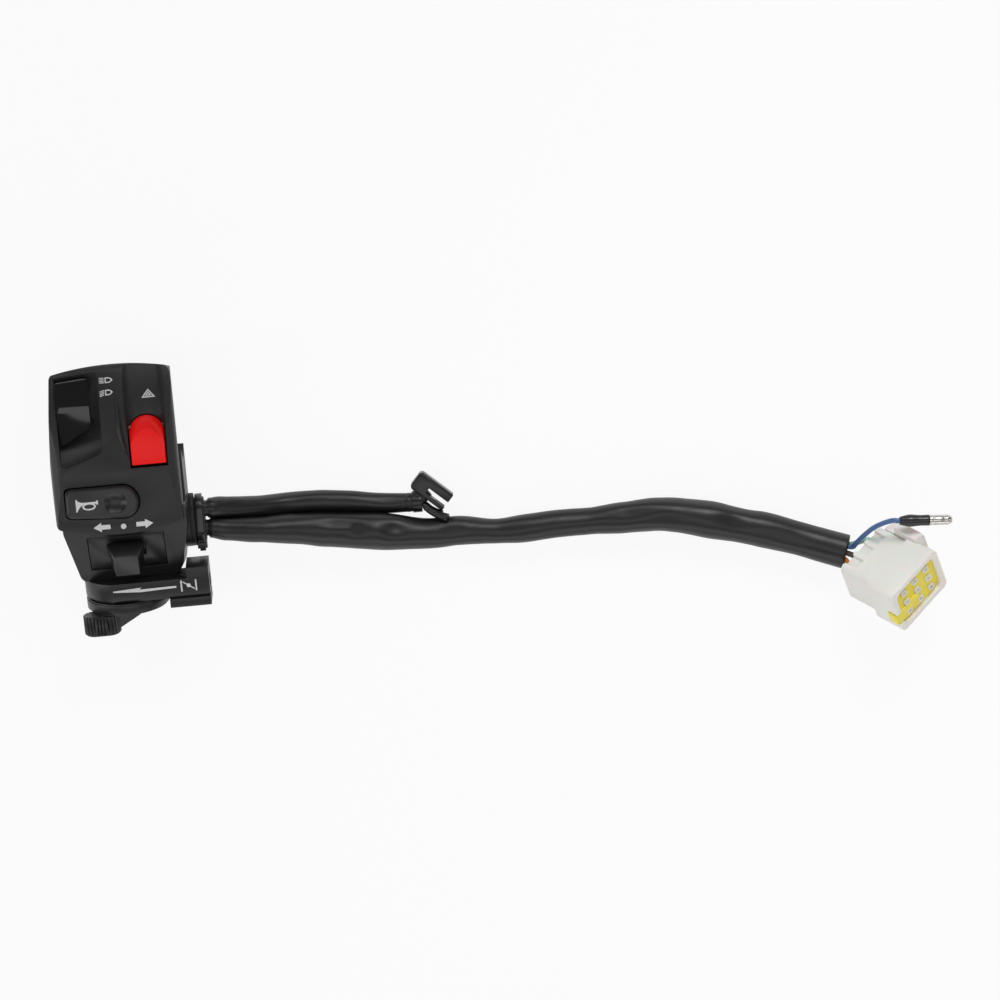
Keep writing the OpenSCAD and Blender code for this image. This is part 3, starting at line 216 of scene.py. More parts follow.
finishes = {
    "housing": mouldedBlack("satinHousing", 0.011, 0.42, 0.00004),
    "facet": mouldedBlack("satinFacet", 0.01, 0.4, 0.00004),
    "rocker": glossyBlack("glossRocker", 0.006, 0.05),
    "cap": colouredPlastic("redCap", (0.93, 0.006, 0.006), (0.98, 0.012, 0.01), 0.3, 0.0, shine=0.22),
    "horn": mouldedBlack("satinButton", 0.011, 0.34, 0.00003),
    "knob": mouldedBlack("satinKnob", 0.01, 0.28, 0.00003),
    "choke": mouldedBlack("satinChoke", 0.011, 0.36, 0.00004),
    "rubber": mouldedBlack("glandRubber", 0.01, 0.5, 0.00005),
    "vinyl": vinyl("sleeveVinyl", 0.006, 0.36),
    "tie": glossyBlack("tieNylon", 0.009, 0.3),
    "boot": mouldedBlack("bootVinyl", 0.01, 0.3, 0.00003),
    "plug": colouredPlastic("milkNylon", (0.95, 0.9, 0.83), (0.97, 0.94, 0.9), 0.38, 0.45, 0.003),
    "holder": colouredPlastic("holderYellow", (0.98, 0.78, 0.05), (0.99, 0.86, 0.11), 0.42, 0.1),
    "tower": colouredPlastic("towerNylon", (0.8, 0.78, 0.7), (0.88, 0.86, 0.8), 0.4, 0.1),
    "blue": colouredPlastic("wireBlue", (0.055, 0.12, 0.3), (0.08, 0.17, 0.38), 0.36, 0.0),
    "mint": colouredPlastic("wireMint", (0.32, 0.62, 0.52), (0.44, 0.72, 0.62), 0.4, 0.0),
    "orange": colouredPlastic("wireOrange", (0.72, 0.2, 0.02), (0.84, 0.28, 0.04), 0.4, 0.0),
    "grey": colouredPlastic("wireGrey", (0.16, 0.13, 0.12), (0.24, 0.2, 0.19), 0.42, 0.0),
    "green": colouredPlastic("wireGreen", (0.06, 0.3, 0.2), (0.1, 0.38, 0.26), 0.4, 0.0),
    "steel": metal("platedSteel", (0.7, 0.7, 0.69), 0.3, 900),
    "tin": metal("tinnedBullet", (0.78, 0.74, 0.7), 0.26, 700),
    "brass": metal("contactBrass", (0.78, 0.56, 0.22), 0.32, 800),
    # contact blades: the metal contacts inside the terminal cells, coloured dark as painted shade for the
    # inside of the slots
    "bladePaintedShade": metal("contactBladePaintedShade", (0.16, 0.12, 0.09), 0.45, 800),
    "laminate": colouredPlastic("contactBoard", (0.2, 0.09, 0.035), (0.3, 0.14, 0.055), 0.55, 0.0),
    "nylon": colouredPlastic("naturalNylon", (0.72, 0.69, 0.58), (0.8, 0.77, 0.66), 0.45, 0.1),
    "mark": printedWhite("printWhite")}
print("finishes:", len(finishes))


def wear(piece, finish, body, stands=()):
    piece.data.materials.clear()
    piece.data.materials.append(finishes[finish])
    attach(piece, body)
    if stands:
        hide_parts(*stands)
    return piece


# cords and wires, along the same points as the solids, in millimetres

def smoothLine(points, step):
    line = [Vector(p[:3]) for p in points]
    width = [p[3] for p in points]
    ends = [line[0] * 2 - line[1]] + line + [line[-1] * 2 - line[-2]]
    made = []
    for i in range(len(line) - 1):
        a, b, c, d = ends[i:i + 4]
        count = max(2, round((c - b).length / step))
        for k in range(count):
            t = k / count
            spot = 0.5 * (2 * b + (c - a) * t + (2 * a - 5 * b + 4 * c - d) * t * t
                          + (3 * b - a - 3 * c + d) * t ** 3)
            ease = t * t * (3 - 2 * t)
            made.append((spot, width[i] * (1 - ease) + width[i + 1] * ease))
    made.append((line[-1], width[-1]))
    return made


def ringFrames(line):
    frames = []
    for i, (spot, width) in enumerate(line):
        ahead = (line[min(i + 1, len(line) - 1)][0] - line[max(i - 1, 0)][0]).normalized()
        side = ahead.cross(Vector((0, 0, 1))).normalized()
        frames.append((spot, width, side, side.cross(ahead), ahead))
    return frames


def ringAround(spot, side, up, reach, sides):
    turns = [math.tau * k / sides for k in range(sides)]
    return [spot + (side * math.cos(turn) + up * math.sin(turn)) * reach for turn in turns]


def faceOutwards(piece):
    pick(piece)
    bpy.ops.object.mode_set(mode="EDIT")
    bpy.ops.mesh.select_all(action="SELECT")
    bpy.ops.mesh.normals_make_consistent(inside=False)
    bpy.ops.object.mode_set(mode="OBJECT")


def skinTube(name, rings):
    count, last = len(rings[0]), len(rings) - 1
    verts = [v * mm for ring in rings for v in ring]
    faces = []
    for i in range(last):
        for k in range(count):
            after = (k + 1) % count
            faces.append((i * count + k, i * count + after, (i + 1) * count + after, (i + 1) * count + k))
    faces.append(tuple(reversed(range(count))))
    faces.append(tuple(last * count + k for k in range(count)))
    mesh = bpy.data.meshes.new(name)
    mesh.from_pydata(verts, [], faces)
    piece = bpy.data.objects.new(name, mesh)
    scene.collection.objects.link(piece)
    faceOutwards(piece)
    bpy.ops.object.shade_smooth()
    return piece


# a point is x, y, z and radius; a dent is its place, lean, depth, half length and breadth;
# the mouth is a row of depths inside the end, each with its share of the wall
mainSleeve = {
    "points": [(16.6, -37.8, 0, 3), (22, -37.8, 0, 3), (29.4, -37.8, 0, 3), (36.5, -39.2, -1.2, 4),
               (47, -40.8, -5.2, 4.6), (60, -42.1, -9.2, 5.5), (72.8, -43.8, -11.6, 6.4),
               (91, -46.1, -11.2, 6.8), (109, -48.8, -12.4, 5.6), (121.6, -48.8, -12.5, 5.5),
               (134.6, -50.4, -13.3, 4.7), (146, -50.3, -12.7, 5.3), (158, -49.8, -12.8, 5.2),
               (170, -49.9, -12.9, 5.1), (182.6, -49.7, -12.1, 5.9), (194.5, -49.5, -11.7, 6.3),
               (203, -50.6, -11.4, 6.6), (214.5, -53.3, -10.9, 7.1), (226.5, -56.8, -11.5, 6.5),
               (234.5, -59, -11.3, 6.7), (247.5, -63.6, -11.7, 6.3), (256, -66.8, -11.6, 6.4),
               (264, -69.8, -11.5, 6.5)],
    "swell": [(29.5, 0), (29.8, 0.8), (33, 0.5), (36.5, 0.3), (47, 0.25), (60, 0.3), (72.8, 0.3), (91, 0.3),
              (109, 0.1), (121, 0)],
    "press": -1,
    "dents": [(76, 26, 0.5, 7, 1.6), (84.4, 6, 0.9, 3.2, 2.2), (97, 18, 1.3, 4.6, 3.2),
              (119, 8, 0.5, 4.5, 2.6), (141, 16, 0.35, 7, 2.4), (186, 20, 0.6, 8, 2.2),
              (199, -12, 0.5, 6, 2.4), (222, 14, 0.7, 6, 2.8), (241, -4, 0.5, 8, 2.2)],
    "sides": 48, "step": 0.8, "fold": 0.03, "ripple": 0.012, "seed": 3.0, "wall": 0.9,
    "mouth": [(0.0, 0.6), (0.15, 1), (1.5, 1), (4.0, 1), (8.5, 1)]}
branchSleeve = {
    "points": [(16.6, -30.6, 0, 3), (22, -30.6, 0, 3), (29.4, -30.6, 0, 3), (35, -31.2, -3, 3.8),
               (47.5, -32.9, -9.6, 4), (59, -33.2, -13.9, 4.1), (70, -33.3, -14.1, 3.9),
               (81, -34.4, -14.3, 3.7), (93, -36.1, -14.6, 3.4), (104.6, -36.9, -14.6, 3.4)],
    "swell": [(29.5, 0), (29.8, 0.8), (33, 0.5), (36.5, 0.3), (47.5, 0.35), (59, 0.3), (70, 0.35), (81, 0.45),
              (93, 0.5), (104.6, 0.1)],
    "press": 1,
    "dents": [(38, 12, 0.5, 4, 2), (52, -20, 0.4, 8, 1.8), (96, 24, 0.35, 6, 1.8)],
    "sides": 40, "step": 0.8, "fold": 0.03, "ripple": 0.012, "seed": 11.0, "wall": 0, "mouth": []}
benchTop = -17.95
sleeveContact = {"line": [(29.5, -34.2), (33, -34.7), (36.5, -35.2), (38.5, -35.6)], "gap": 0.05}
sleeveCrease = {"from": 29, "over": 12, "foldPace": 0.05, "foldTurn": 1.4, "ripplePace": 0.22,
                "rippleTurn": 0.8, "shift": 5, "bias": 0.2}


def between(stops, x):
    for (x0, a), (x1, b) in zip(stops, stops[1:]):
        if x0 <= x <= x1:
            return a + (b - a) * (x - x0) / (x1 - x0)
    return 0


def dentDepth(dents, x, width, angle):
    depth = 0
    for place, lean, deep, half, broad in dents:      # lean is measured from the top towards the upper edge
        arc = width * (angle - math.radians(90 + lean))
        depth += deep * math.exp(-((x - place) / half) ** 2 - (arc / broad) ** 2)
    return depth


# a sleeve is round inside the gland and creased once it is out
def sleeveReach(look, x, width, angle):
    crease = sleeveCrease
    free = min(1, max(0, (x - crease["from"]) / crease["over"]))
    across, upward = math.cos(angle), math.sin(angle)
    along, turn = x * crease["foldPace"] + look["seed"], crease["foldTurn"]
    fold = noise.noise(Vector((along, across * turn, upward * turn)))
    along, turn = x * crease["ripplePace"] + look["seed"], crease["rippleTurn"]
    ripple = noise.noise(Vector((along, across * turn, upward * turn + crease["shift"])))
    uneven = look["fold"] * (fold - crease["bias"]) + look["ripple"] * (ripple - crease["bias"])
    swell = between(look["swell"], x) - dentDepth(look["dents"], x, width, angle)
    return width * (1 + free * uneven) + swell


# where the two sleeves lie side by side they press each other flat
def pressFlat(point, press):
    line = sleeveContact["line"]
    if line[0][0] <= point.x <= line[-1][0]:
        flat = between(line, point.x) - sleeveContact["gap"] * press
        point.y = max(point.y, flat) if press > 0 else min(point.y, flat)


def sleeveTube(name, look):
    frames = ringFrames(smoothLine(look["points"], look["step"]))
    rings = []
    for spot, width, side, up, ahead in frames:
        ring = []
        for k in range(look["sides"]):
            angle = math.tau * k / look["sides"]
            out = side * math.cos(angle) + up * math.sin(angle)
            point = spot + out * sleeveReach(look, spot.x, width, angle)
            point.z = max(point.z, benchTop)
            pressFlat(point, look["press"])
            ring.append(point)
        rings.append(ring)
    spot, width, side, up, ahead = frames[-1]
    for depth, share in look["mouth"]:
        rings.append(ringAround(spot - ahead * depth, side, up, width - look["wall"] * share, look["sides"]))
    return skinTube(name, rings), [tuple(f[0] * mm) for f in frames]


def lineLength(path):
    return sum((Vector(b) - Vector(a)).length for a, b in zip(path, path[1:]))


def wireTube(name, points, radius, sides=16, step=0.7):
    frames = ringFrames(smoothLine([(*p, radius) for p in points], step))
    rings = [ringAround(spot, side, up, radius, sides) for spot, width, side, up, ahead in frames]
    return skinTube(name, rings), [tuple(f[0] * mm) for f in frames]


mainTube, mainPath = sleeveTube("mainSleeveSkin", mainSleeve)
wear(mainTube, "vinyl", "housing", ["main_sleeve"])
branchTube, branchPath = sleeveTube("branchSleeveSkin", branchSleeve)
wear(branchTube, "vinyl", "housing", ["branch_sleeve"])
blueWire = {"points": [(259.2, -65.5, -8.2), (266, -68, -8.2), (268, -66.4, -6), (270.6, -63.6, -2.4),
                       (275, -60, 2.8), (280.4, -57.7, 8.6), (283.6, -57.9, 9.4), (286.4, -58.1, 9.3)],
            "radius": 0.95}
blueTube, bluePath = wireTube("blueWireSkin", blueWire["points"], blueWire["radius"])
wear(blueTube, "blue", "housing", ["blue_wire"])

# short wires from the sleeve's mouth into the rear cells of the white connector

plugPlace = {"at": (279.7, -79, 2.45), "turn": (-29.8, -38, -30.6), "length": 26.5, "pitch": (6.3, 5.2)}
plugTurn = Euler([math.radians(a) for a in plugPlace["turn"]], "XYZ").to_matrix()
shortWires = {
    "mintWire": {"finish": "mint", "start": (2.2, 0.2), "cell": (1, 1)},
    "greyWire": {"finish": "grey", "start": (-0.4, 0.6), "cell": (0, 0)},
    "orangeWire": {"finish": "orange", "start": (-2.4, 2), "cell": (-1, 0)},
    "greenWire": {"finish": "green", "start": (-2.8, -1.2), "cell": (-1, -1)}}
wireRun = {"radius": 1.05, "inside": 6, "before": 2, "after": 3, "short": 5, "reach": 0.5, "into": 4,
           "steps": 8}
branchLeads = {
    "upperLead": [(108.7, -38.6, -12.6), (109.6, -38.6, -12.6), (111.5, -40.2, -11.4), (114.6, -42.2, -9.6),
                  (117.6, -43.1, -7.9)],
    "lowerLead": [(108.7, -38.6, -15.9), (109.6, -38.6, -15.9), (111.2, -40.2, -16), (113.4, -41.6, -16.2),
                  (115.6, -42.6, -16.4)]}
leadRadius = 1.5


def cellPoint(cell, along):
    across, high = plugPlace["pitch"]
    return Vector(plugPlace["at"]) + plugTurn @ Vector((along, cell[0] * across, cell[1] * high))


def shortWireLine(look):
    last, before = (Vector(p[:3]) for p in (mainSleeve["points"][-1], mainSleeve["points"][-2]))
    ahead = (last - before).normalized()
    side = ahead.cross(Vector((0, 0, 1))).normalized()
    start = last - side * look["start"][0] + Vector((0, 0, look["start"][1]))
    rear = -plugPlace["length"] / 2
    a, b = start - ahead * wireRun["before"], start + ahead * wireRun["after"]
    c, d = cellPoint(look["cell"], rear - wireRun["short"]), cellPoint(look["cell"], rear - wireRun["reach"])
    line = [start - ahead * wireRun["inside"]]
    for k in range(wireRun["steps"] + 1):
        t = k / wireRun["steps"]
        line.append((1 - t) ** 3 * a + 3 * (1 - t) ** 2 * t * b + 3 * (1 - t) * t * t * c + t ** 3 * d)
    return line + [cellPoint(look["cell"], rear + wireRun["into"])]


def turnedPiece(name, place, ahead, profile, sides=28):
    side = ahead.cross(Vector((0, 0, 1))).normalized()
    up = side.cross(ahead)
    rings = [ringAround(place + ahead * along, side, up, reach, sides) for along, reach in profile]
    return skinTube(name, rings)


bulletEnd = {
    "at": (283.6, -57.9, 9.4), "pitch": 2, "swing": 4,
    "cover": [(5.6, 1.3), (0.1, 1.3), (0, 1.45), (0.5, 1.62), (1.6, 1.9), (2.8, 2.2), (3.8, 2.32),
              (4.8, 2.28), (6.2, 2.1), (8, 2), (9.6, 2.02), (10.7, 2.08), (11, 2), (11, 1.72), (5.8, 1.72),
              (5.6, 1.3)],
    "tip": [(4.2, 0.4), (4.2, 1.6), (11.05, 1.6), (11.1, 1.85), (11.3, 1.94), (12.3, 1.94), (12.45, 1.86),
            (12.7, 1.86), (12.85, 1.94), (16.2, 1.94), (16.45, 1.8), (16.9, 1.8), (17.15, 1.94), (17.9, 1.9),
            (18.7, 1.62), (19.3, 1.24), (19.45, 1.02), (19.3, 0.88), (18.2, 0.8), (18.1, 0.3)]}
bulletPlace = Vector(bulletEnd["at"])
bulletTurn = (0, math.radians(bulletEnd["pitch"]), math.radians(-bulletEnd["swing"]))
bulletAhead = Euler(bulletTurn, "XYZ").to_matrix() @ Vector((1, 0, 0))
bulletCover = turnedPiece("bulletCover", bulletPlace, bulletAhead, bulletEnd["cover"])
wear(bulletCover, "tie", "housing", ["bullet_sleeve"])
bulletTip = turnedPiece("bulletTip", bulletPlace, bulletAhead, bulletEnd["tip"])
wear(bulletTip, "tin", "housing", ["bullet_terminal"])

branchBoot = {"points": [(102.6, -36.8, -14.5, 3.46), (104.2, -36.9, -14.5, 3.6), (105.4, -36.8, -14.5, 3.62),
                         (106.6, -36.2, -14.3, 3.5), (108, -35, -14.1, 3.35), (109.4, -33.6, -13.9, 3.3),
                         (110.6, -32.6, -13.8, 3)],
              "sides": 28, "step": 0.5, "ripple": 0.03, "pace": 1.3}


def bootTube(name, look):
    rings = []
    for i, (spot, width, side, up, ahead) in enumerate(ringFrames(smoothLine(look["points"], look["step"]))):
        reach = width * (1 + look["ripple"] * math.sin(i * look["pace"]))
        rings.append(ringAround(spot, side, up, reach, look["sides"]))
    return skinTube(name, rings)


bootSkin = wear(bootTube("branchNeck", branchBoot), "vinyl", "housing")

wireSkins, leadSkins = [], []
for name, look in shortWires.items():
    skin = wireTube(name, shortWireLine(look), wireRun["radius"])[0]
    wireSkins.append(wear(skin, look["finish"], "housing", ["connector_wires"]))
for name, points in branchLeads.items():
    skin = wireTube(name, points, leadRadius)[0]
    leadSkins.append(wear(skin, "boot", "housing", ["branch_leads"]))
print("cords:", [round(lineLength(p), 3) for p in (mainPath, branchPath, bluePath)])


# CAD pieces with their moulded edges broken

branchSlots = {"at": (112.5, -33, -13.75), "turn": -42, "deep": 20,
               "boxes": [((-1.3, -1.9), (9, 0.3)), ((0.5, -6), (9, -3.6))]}
edgeBreak = {"merge": 0.000002, "flat": 0.5, "segments": 2, "angle": 32, "smooth": 38}


def cutSlots(piece, look):
    place = Matrix.Translation(Vector(look["at"]) * mm) @ Matrix.Rotation(math.radians(look["turn"]), 4, "Z")
    for (x0, y0), (x1, y1) in look["boxes"]:
        clearSelection()
        bpy.ops.mesh.primitive_cube_add(size=mm)
        cutter = bpy.context.object
        middle = Vector(((x0 + x1) / 2, (y0 + y1) / 2, 0))
        size = Matrix.Diagonal((x1 - x0, y1 - y0, look["deep"], 1))
        cutter.matrix_world = place @ Matrix.Translation(middle * mm) @ size
        pick(piece)
        slot = piece.modifiers.new("slot", "BOOLEAN")
        slot.operation, slot.object, slot.solver = "DIFFERENCE", cutter, "EXACT"
        bpy.ops.object.modifier_apply(modifier="slot")
        bpy.data.objects.remove(cutter)


def softened(node, name, width, look):
    piece = bpy.data.objects.new(name, nodes[node].data.copy())
    scene.collection.objects.link(piece)
    pick(piece)
    bpy.ops.object.mode_set(mode="EDIT")
    bpy.ops.mesh.select_all(action="SELECT")
    bpy.ops.mesh.remove_doubles(threshold=look["merge"])
    bpy.ops.mesh.dissolve_limited(angle_limit=math.radians(look["flat"]))
    bpy.ops.object.mode_set(mode="OBJECT")
    if node == "branch_connector":
        cutSlots(piece, branchSlots)
    edge = piece.modifiers.new("edge", "BEVEL")
    edge.width, edge.segments = width, look["segments"]
    edge.limit_method, edge.angle_limit = "ANGLE", math.radians(look["angle"])
    edge.use_clamp_overlap = True
    bpy.ops.object.modifier_apply(modifier="edge")
    bpy.ops.object.shade_smooth_by_angle(angle=math.radians(look["smooth"]))
    return piece


mouldedPieces = {
    "front_housing": ("frontShell", 0.00035, "housing", "housing", "housing_black"),
    "rear_housing": ("rearShell", 0.00035, "housing", "housing", "housing_black"),
    "dimmer_rocker": ("dimmerPaddle", 0.0007, "rocker", "dimmer", "rocker_black"),
    "hazard_rocker": ("hazardCap", 0.0004, "cap", "hazard", "cap_red"),
    "horn_button": ("hornPad", 0.0009, "horn", "horn", "button_black"),
    "turn_plate": ("turnWindowPlate", 0.0001, "facet", "housing", "housing_black"),
    "turn_knob": ("turnThumb", 0.0003, "knob", "knob", "button_black"),
    "choke_base": ("chokeHousing", 0.0004, "choke", "housing", "choke_black"),
    "choke_cover": ("chokeEndCover", 0.0003, "choke", "housing", "choke_black"),
    "choke_lever": ("chokeThumbLever", 0.0002, "choke", "choke", "choke_black"),
    "cable_grommet": ("glandBoot", 0.0003, "rubber", "housing", "rubber"),
    "cable_tie": ("glandTie", 0.0002, "tie", "housing", "vinyl"),
    "branch_connector": ("branchPlug", 0.0003, "boot", "housing", "vinyl"),
    "connector_housing": ("plugShell", 0.0005, "plug", "housing", "connector_white"),
    "terminal_holder": ("plugHolder", 0.0002, "holder", "housing", "holder_yellow"),
    "connector_terminals": ("plugTowers", 0.00015, "tower", "housing", "connector_white")}
made = {}
for node, (name, width, finish, body, slot) in mouldedPieces.items():
    made[node] = wear(softened(node, name, width, edgeBreak), finish, body, [node])
print("moulded pieces:", len(made))

plainFinish = {
    "steel": ["housing_screws", "dimmer_pivot_pin", "dimmer_spring", "hazard_pivot_pin", "hazard_spring",
              "horn_spring", "cancel_spring", "base_screws", "choke_pivot_screw", "choke_washer",
              "choke_screws"],
    "brass": ["dimmer_contacts", "hazard_contacts", "horn_contacts", "horn_moving_contact", "turn_bridge",
              "turn_contacts"],
    "laminate": ["dimmer_contact_base", "hazard_contact_base", "horn_contact_base", "turn_contact_base"],
    "nylon": ["dimmer_plunger", "hazard_plunger", "turn_carriage"]}
for finish, names in plainFinish.items():
    for node in names:
        nodes[node].data.materials.clear()
        nodes[node].data.materials.append(finishes[finish])
print("inner pieces finished")


# small moulded details that stand on the pieces above

skyHeight = 60


def surfaceAt(piece, x, y):
    hit, spot, facing, index = piece.ray_cast(Vector((x, y, skyHeight)) * mm, Vector((0, 0, -1)))
    return spot.z / mm


def joined(pieces, name):
    clearSelection()
    for piece in pieces:
        piece.select_set(True)
    bpy.context.view_layer.objects.active = pieces[0]
    bpy.ops.object.join()
    bpy.context.object.name = name
    return bpy.context.object


scoopRim = {"line": [(1.3, 15.5, 0.3), (1.7, 12.5, 1), (1.9, 9.5, 1.6), (1.9, 6.2, 2), (2.1, 2.8, 2.1),
                     (2.6, -0.5, 1.8), (3.2, -3.2, 1.3), (3.8, -5, 0.8), (4.3, -6.2, 0.3)],
            "height": 0.3, "sink": 0.4, "steps": 10, "step": 0.5, "lift": 0.02}


def addScoopRim(look):
    rings = []
    line = smoothLine([(x, y, 0, w) for x, y, w in look["line"]], look["step"])
    for spot, width, side, up, ahead in ringFrames(line):
        top = []
        for k in range(look["steps"] + 1):
            p = spot + side * (k / look["steps"] - 0.5) * width
            crown = look["height"] * width * (1 - (2 * k / look["steps"] - 1) ** 2)
            top.append(Vector((p.x, p.y, surfaceAt(made["front_housing"], p.x, p.y) + look["lift"] + crown)))
        rings.append(top + [Vector((p.x, p.y, p.z - look["sink"])) for p in reversed(top)])
    wear(skinTube("hazardScoopRim", rings), "housing", "housing")


thumbRibs = {"at": (-12.8, 11.45), "places": (-1.75, -0.6, 0.6, 1.75), "radius": 0.55, "length": 6.6,
             "rise": 0.35, "sides": 16, "edge": 0.0003, "segments": 2, "smooth": 40}


def addThumbRibs(look):
    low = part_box("choke_lever")[0]
    middle = low[1] + (look["rise"] + look["length"] / 2) * mm
    ribs = []
    for place in look["places"]:
        clearSelection()
        bpy.ops.mesh.primitive_cylinder_add(
            vertices=look["sides"], radius=look["radius"] * mm, depth=look["length"] * mm,
            rotation=(math.radians(90), 0, 0),
            location=((look["at"][0] + place) * mm, middle, look["at"][1] * mm))
        rib = bpy.context.object
        edge = rib.modifiers.new("edge", "BEVEL")
        edge.width, edge.segments, edge.limit_method = look["edge"], look["segments"], "ANGLE"
        bpy.ops.object.modifier_apply(modifier="edge")
        ribs.append(rib)
    piece = joined(ribs, "thumbRibs")
    bpy.ops.object.transform_apply(location=True, rotation=True, scale=True)
    bpy.ops.object.shade_smooth_by_angle(angle=math.radians(look["smooth"]))
    wear(piece, "choke", "choke")


plugLatch = {"low": (-7, 11.6, 7.2), "high": (5.5, 15.4, 12.6), "slope": 1.4, "foot": 1, "edge": 0.5,
             "segments": 3, "smooth": 38}
shadedContactBlades = {"from": 9.6, "to": 12.3, "half": (0.66, 0.36)}


def plugBox(name, low, high):
    clearSelection()
    bpy.ops.mesh.primitive_cube_add(size=1)
    box = bpy.context.object
    box.name = name
    for corner in box.data.vertices:
        corner.co = [(l if c < 0 else h) for c, l, h in zip(corner.co, low, high)]
    return box


def toPlug(piece):
    for corner in piece.data.vertices:
        corner.co = (Vector(plugPlace["at"]) + plugTurn @ corner.co) * mm
    return piece


def addPlugLatch(look):
    latch = plugBox("plugLatchTab", look["low"], look["high"])
    for corner in latch.data.vertices:
        if corner.co.z > look["low"][2] + look["foot"] and corner.co.x < 0:
            corner.co.x += look["slope"]
    edge = latch.modifiers.new("edge", "BEVEL")
    edge.width, edge.segments = look["edge"], look["segments"]
    bpy.ops.object.modifier_apply(modifier="edge")
    bpy.ops.object.shade_smooth_by_angle(angle=math.radians(look["smooth"]))
    return wear(toPlug(latch), "plug", "housing")


# dark boxes recessed in the nine terminal cells: partly the real metal contacts, partly painted shade
# standing in for the shadow inside the slots
def addShadedContactBlades(look):
    blades = []
    wide, high = look["half"]
    for j in (-1, 0, 1):
        for k in (-1, 0, 1):
            y, z = j * plugPlace["pitch"][0], k * plugPlace["pitch"][1]
            blades.append(plugBox("shadedContactBlade", (look["from"], y - wide, z - high),
                                  (look["to"], y + wide, z + high)))
    return wear(toPlug(joined(blades, "shadedContactBlades")), "bladePaintedShade", "housing")


addScoopRim(scoopRim)
addThumbRibs(thumbRibs)
latchTab = addPlugLatch(plugLatch)
shadedBladeSet = addShadedContactBlades(shadedContactBlades)
print("moulded details added")


# printed marks, drawn flat in millimetres and laid on the surface under them

def oval(x, y, wide, high, count=24):
    turns = [math.tau * k / count for k in range(count)]
    return [(x + wide * math.cos(turn), y + high * math.sin(turn)) for turn in turns]


def bar(x0, y0, x1, y1, thick):
    run = Vector((x1 - x0, y1 - y0)).normalized() * thick / 2
    return [(x0 - run.y, y0 + run.x), (x1 - run.y, y1 + run.x),
            (x1 + run.y, y1 - run.x), (x0 + run.y, y0 - run.x)]


lampOuter = [(-0.4, 1), (0.9, 1.05), (1.8, 0.75), (2.5, 0.05), (1.8, -0.65), (0.9, -1), (-0.4, -1)]
lampInner = [(0, 0.62), (0.85, 0.66), (1.5, 0.46), (1.95, 0.04), (1.5, -0.38), (0.85, -0.62), (0, -0.62)]
blockArrow = [(-3.1, 0), (-0.2, 1.75), (-0.2, 0.85), (3.1, 0.85), (3.1, -0.85), (-0.2, -0.85), (-0.2, -1.75)]
highBeams = [bar(-2.5, y, -0.75, y, 0.27) for y in (0.85, 0.3, -0.25, -0.8)]
lowBeams = [bar(-2.4, y - 0.55, -0.75, y, 0.27) for y in (0.9, 0.35, -0.2, -0.75)]
printedMarks = {
    "highBeamMark": {"at": (-1.4, 21.7), "on": "front_housing", "body": "housing",
                     "lines": [lampOuter, lampInner] + highBeams},
    "lowBeamMark": {"at": (-1.6, 17.3), "on": "front_housing", "body": "housing",
                    "lines": [lampOuter, lampInner] + lowBeams},
    "hazardMark": {"at": (13.5, 15.6), "on": "front_housing", "body": "housing",
                   "lines": [[(-2.6, -1.5), (2.6, -1.5), (0, 1.6)],
                             [(-1.75, -1.05), (1.75, -1.05), (0, 0.95)],
                             [(-1.2, -0.8), (1.2, -0.8), (0, 0.55)],
                             [(-0.55, -0.48), (0.55, -0.48), (0, 0.05)]]},
    "leftArrowMark": {"at": (-7.9, -31.7), "on": "front_housing", "body": "housing", "lines": [blockArrow]},
    "rightArrowMark": {"at": (7.8, -31.7), "on": "front_housing", "body": "housing",
                       "lines": [[(-x, y) for x, y in blockArrow]]},
    "centreDotMark": {"at": (0, -32), "on": "front_housing", "body": "housing", "lines": [oval(0, 0, 1, 1)]},
    "hornBellMark": {"at": (-12.3, -22.8), "on": "horn_button", "body": "horn",
                     "lines": [[(-4.1, 2.3), (-3.8, 2.3), (-3.1, 1.5), (-1.8, 1.05), (3.3, 1.05), (3.6, 1.45),
                                (4.1, 1.45), (4.1, -0.05), (3.6, -0.05), (3.3, 0.35), (-1.3, 0.35),
                                (-2.2, -0.2), (-3, -1), (-3.8, -2.3), (-4.1, -2.3)]]},
    "hornLoopMark": {"at": (-12.3, -22.8), "on": "horn_button", "body": "horn", "lift": 0.01,
                     "lines": [oval(0.7, -0.55, 2.5, 1.35), oval(0.7, -0.55, 1.85, 0.8)]},
    "chokeArrowMark": {"at": (4.5, -57.2), "on": "choke_base", "body": "housing", "cuts": 1,
                       "lines": [[(-11.7, 0.3), (-1.3, 0.9), (-1.9, 0.2), (11.7, 0.35), (11.7, -0.35),
                                  (-1.6, -0.8), (-11.7, -0.2)]]},
    "chokeFlapMark": {"at": (20.8, -57.1), "on": "choke_base", "body": "housing", "cuts": 1,
                      "lines": [bar(-2.7, -2.1, -2.7, 2.1, 0.55), bar(2.7, -2.1, 2.7, 2.1, 0.55),
                                bar(-2.1, 1.5, 2.1, -1.4, 0.4)]},
    "chokeSpindleMark": {"at": (20.8, -57.1), "on": "choke_base", "body": "housing", "cuts": 1, "lift": 0.01,
                         "lines": [oval(0, 0.05, 0.75, 0.75)]}}
printFilm = {"drop": 0.06, "lift": 0.00005, "thick": 0.00008, "cuts": 3}


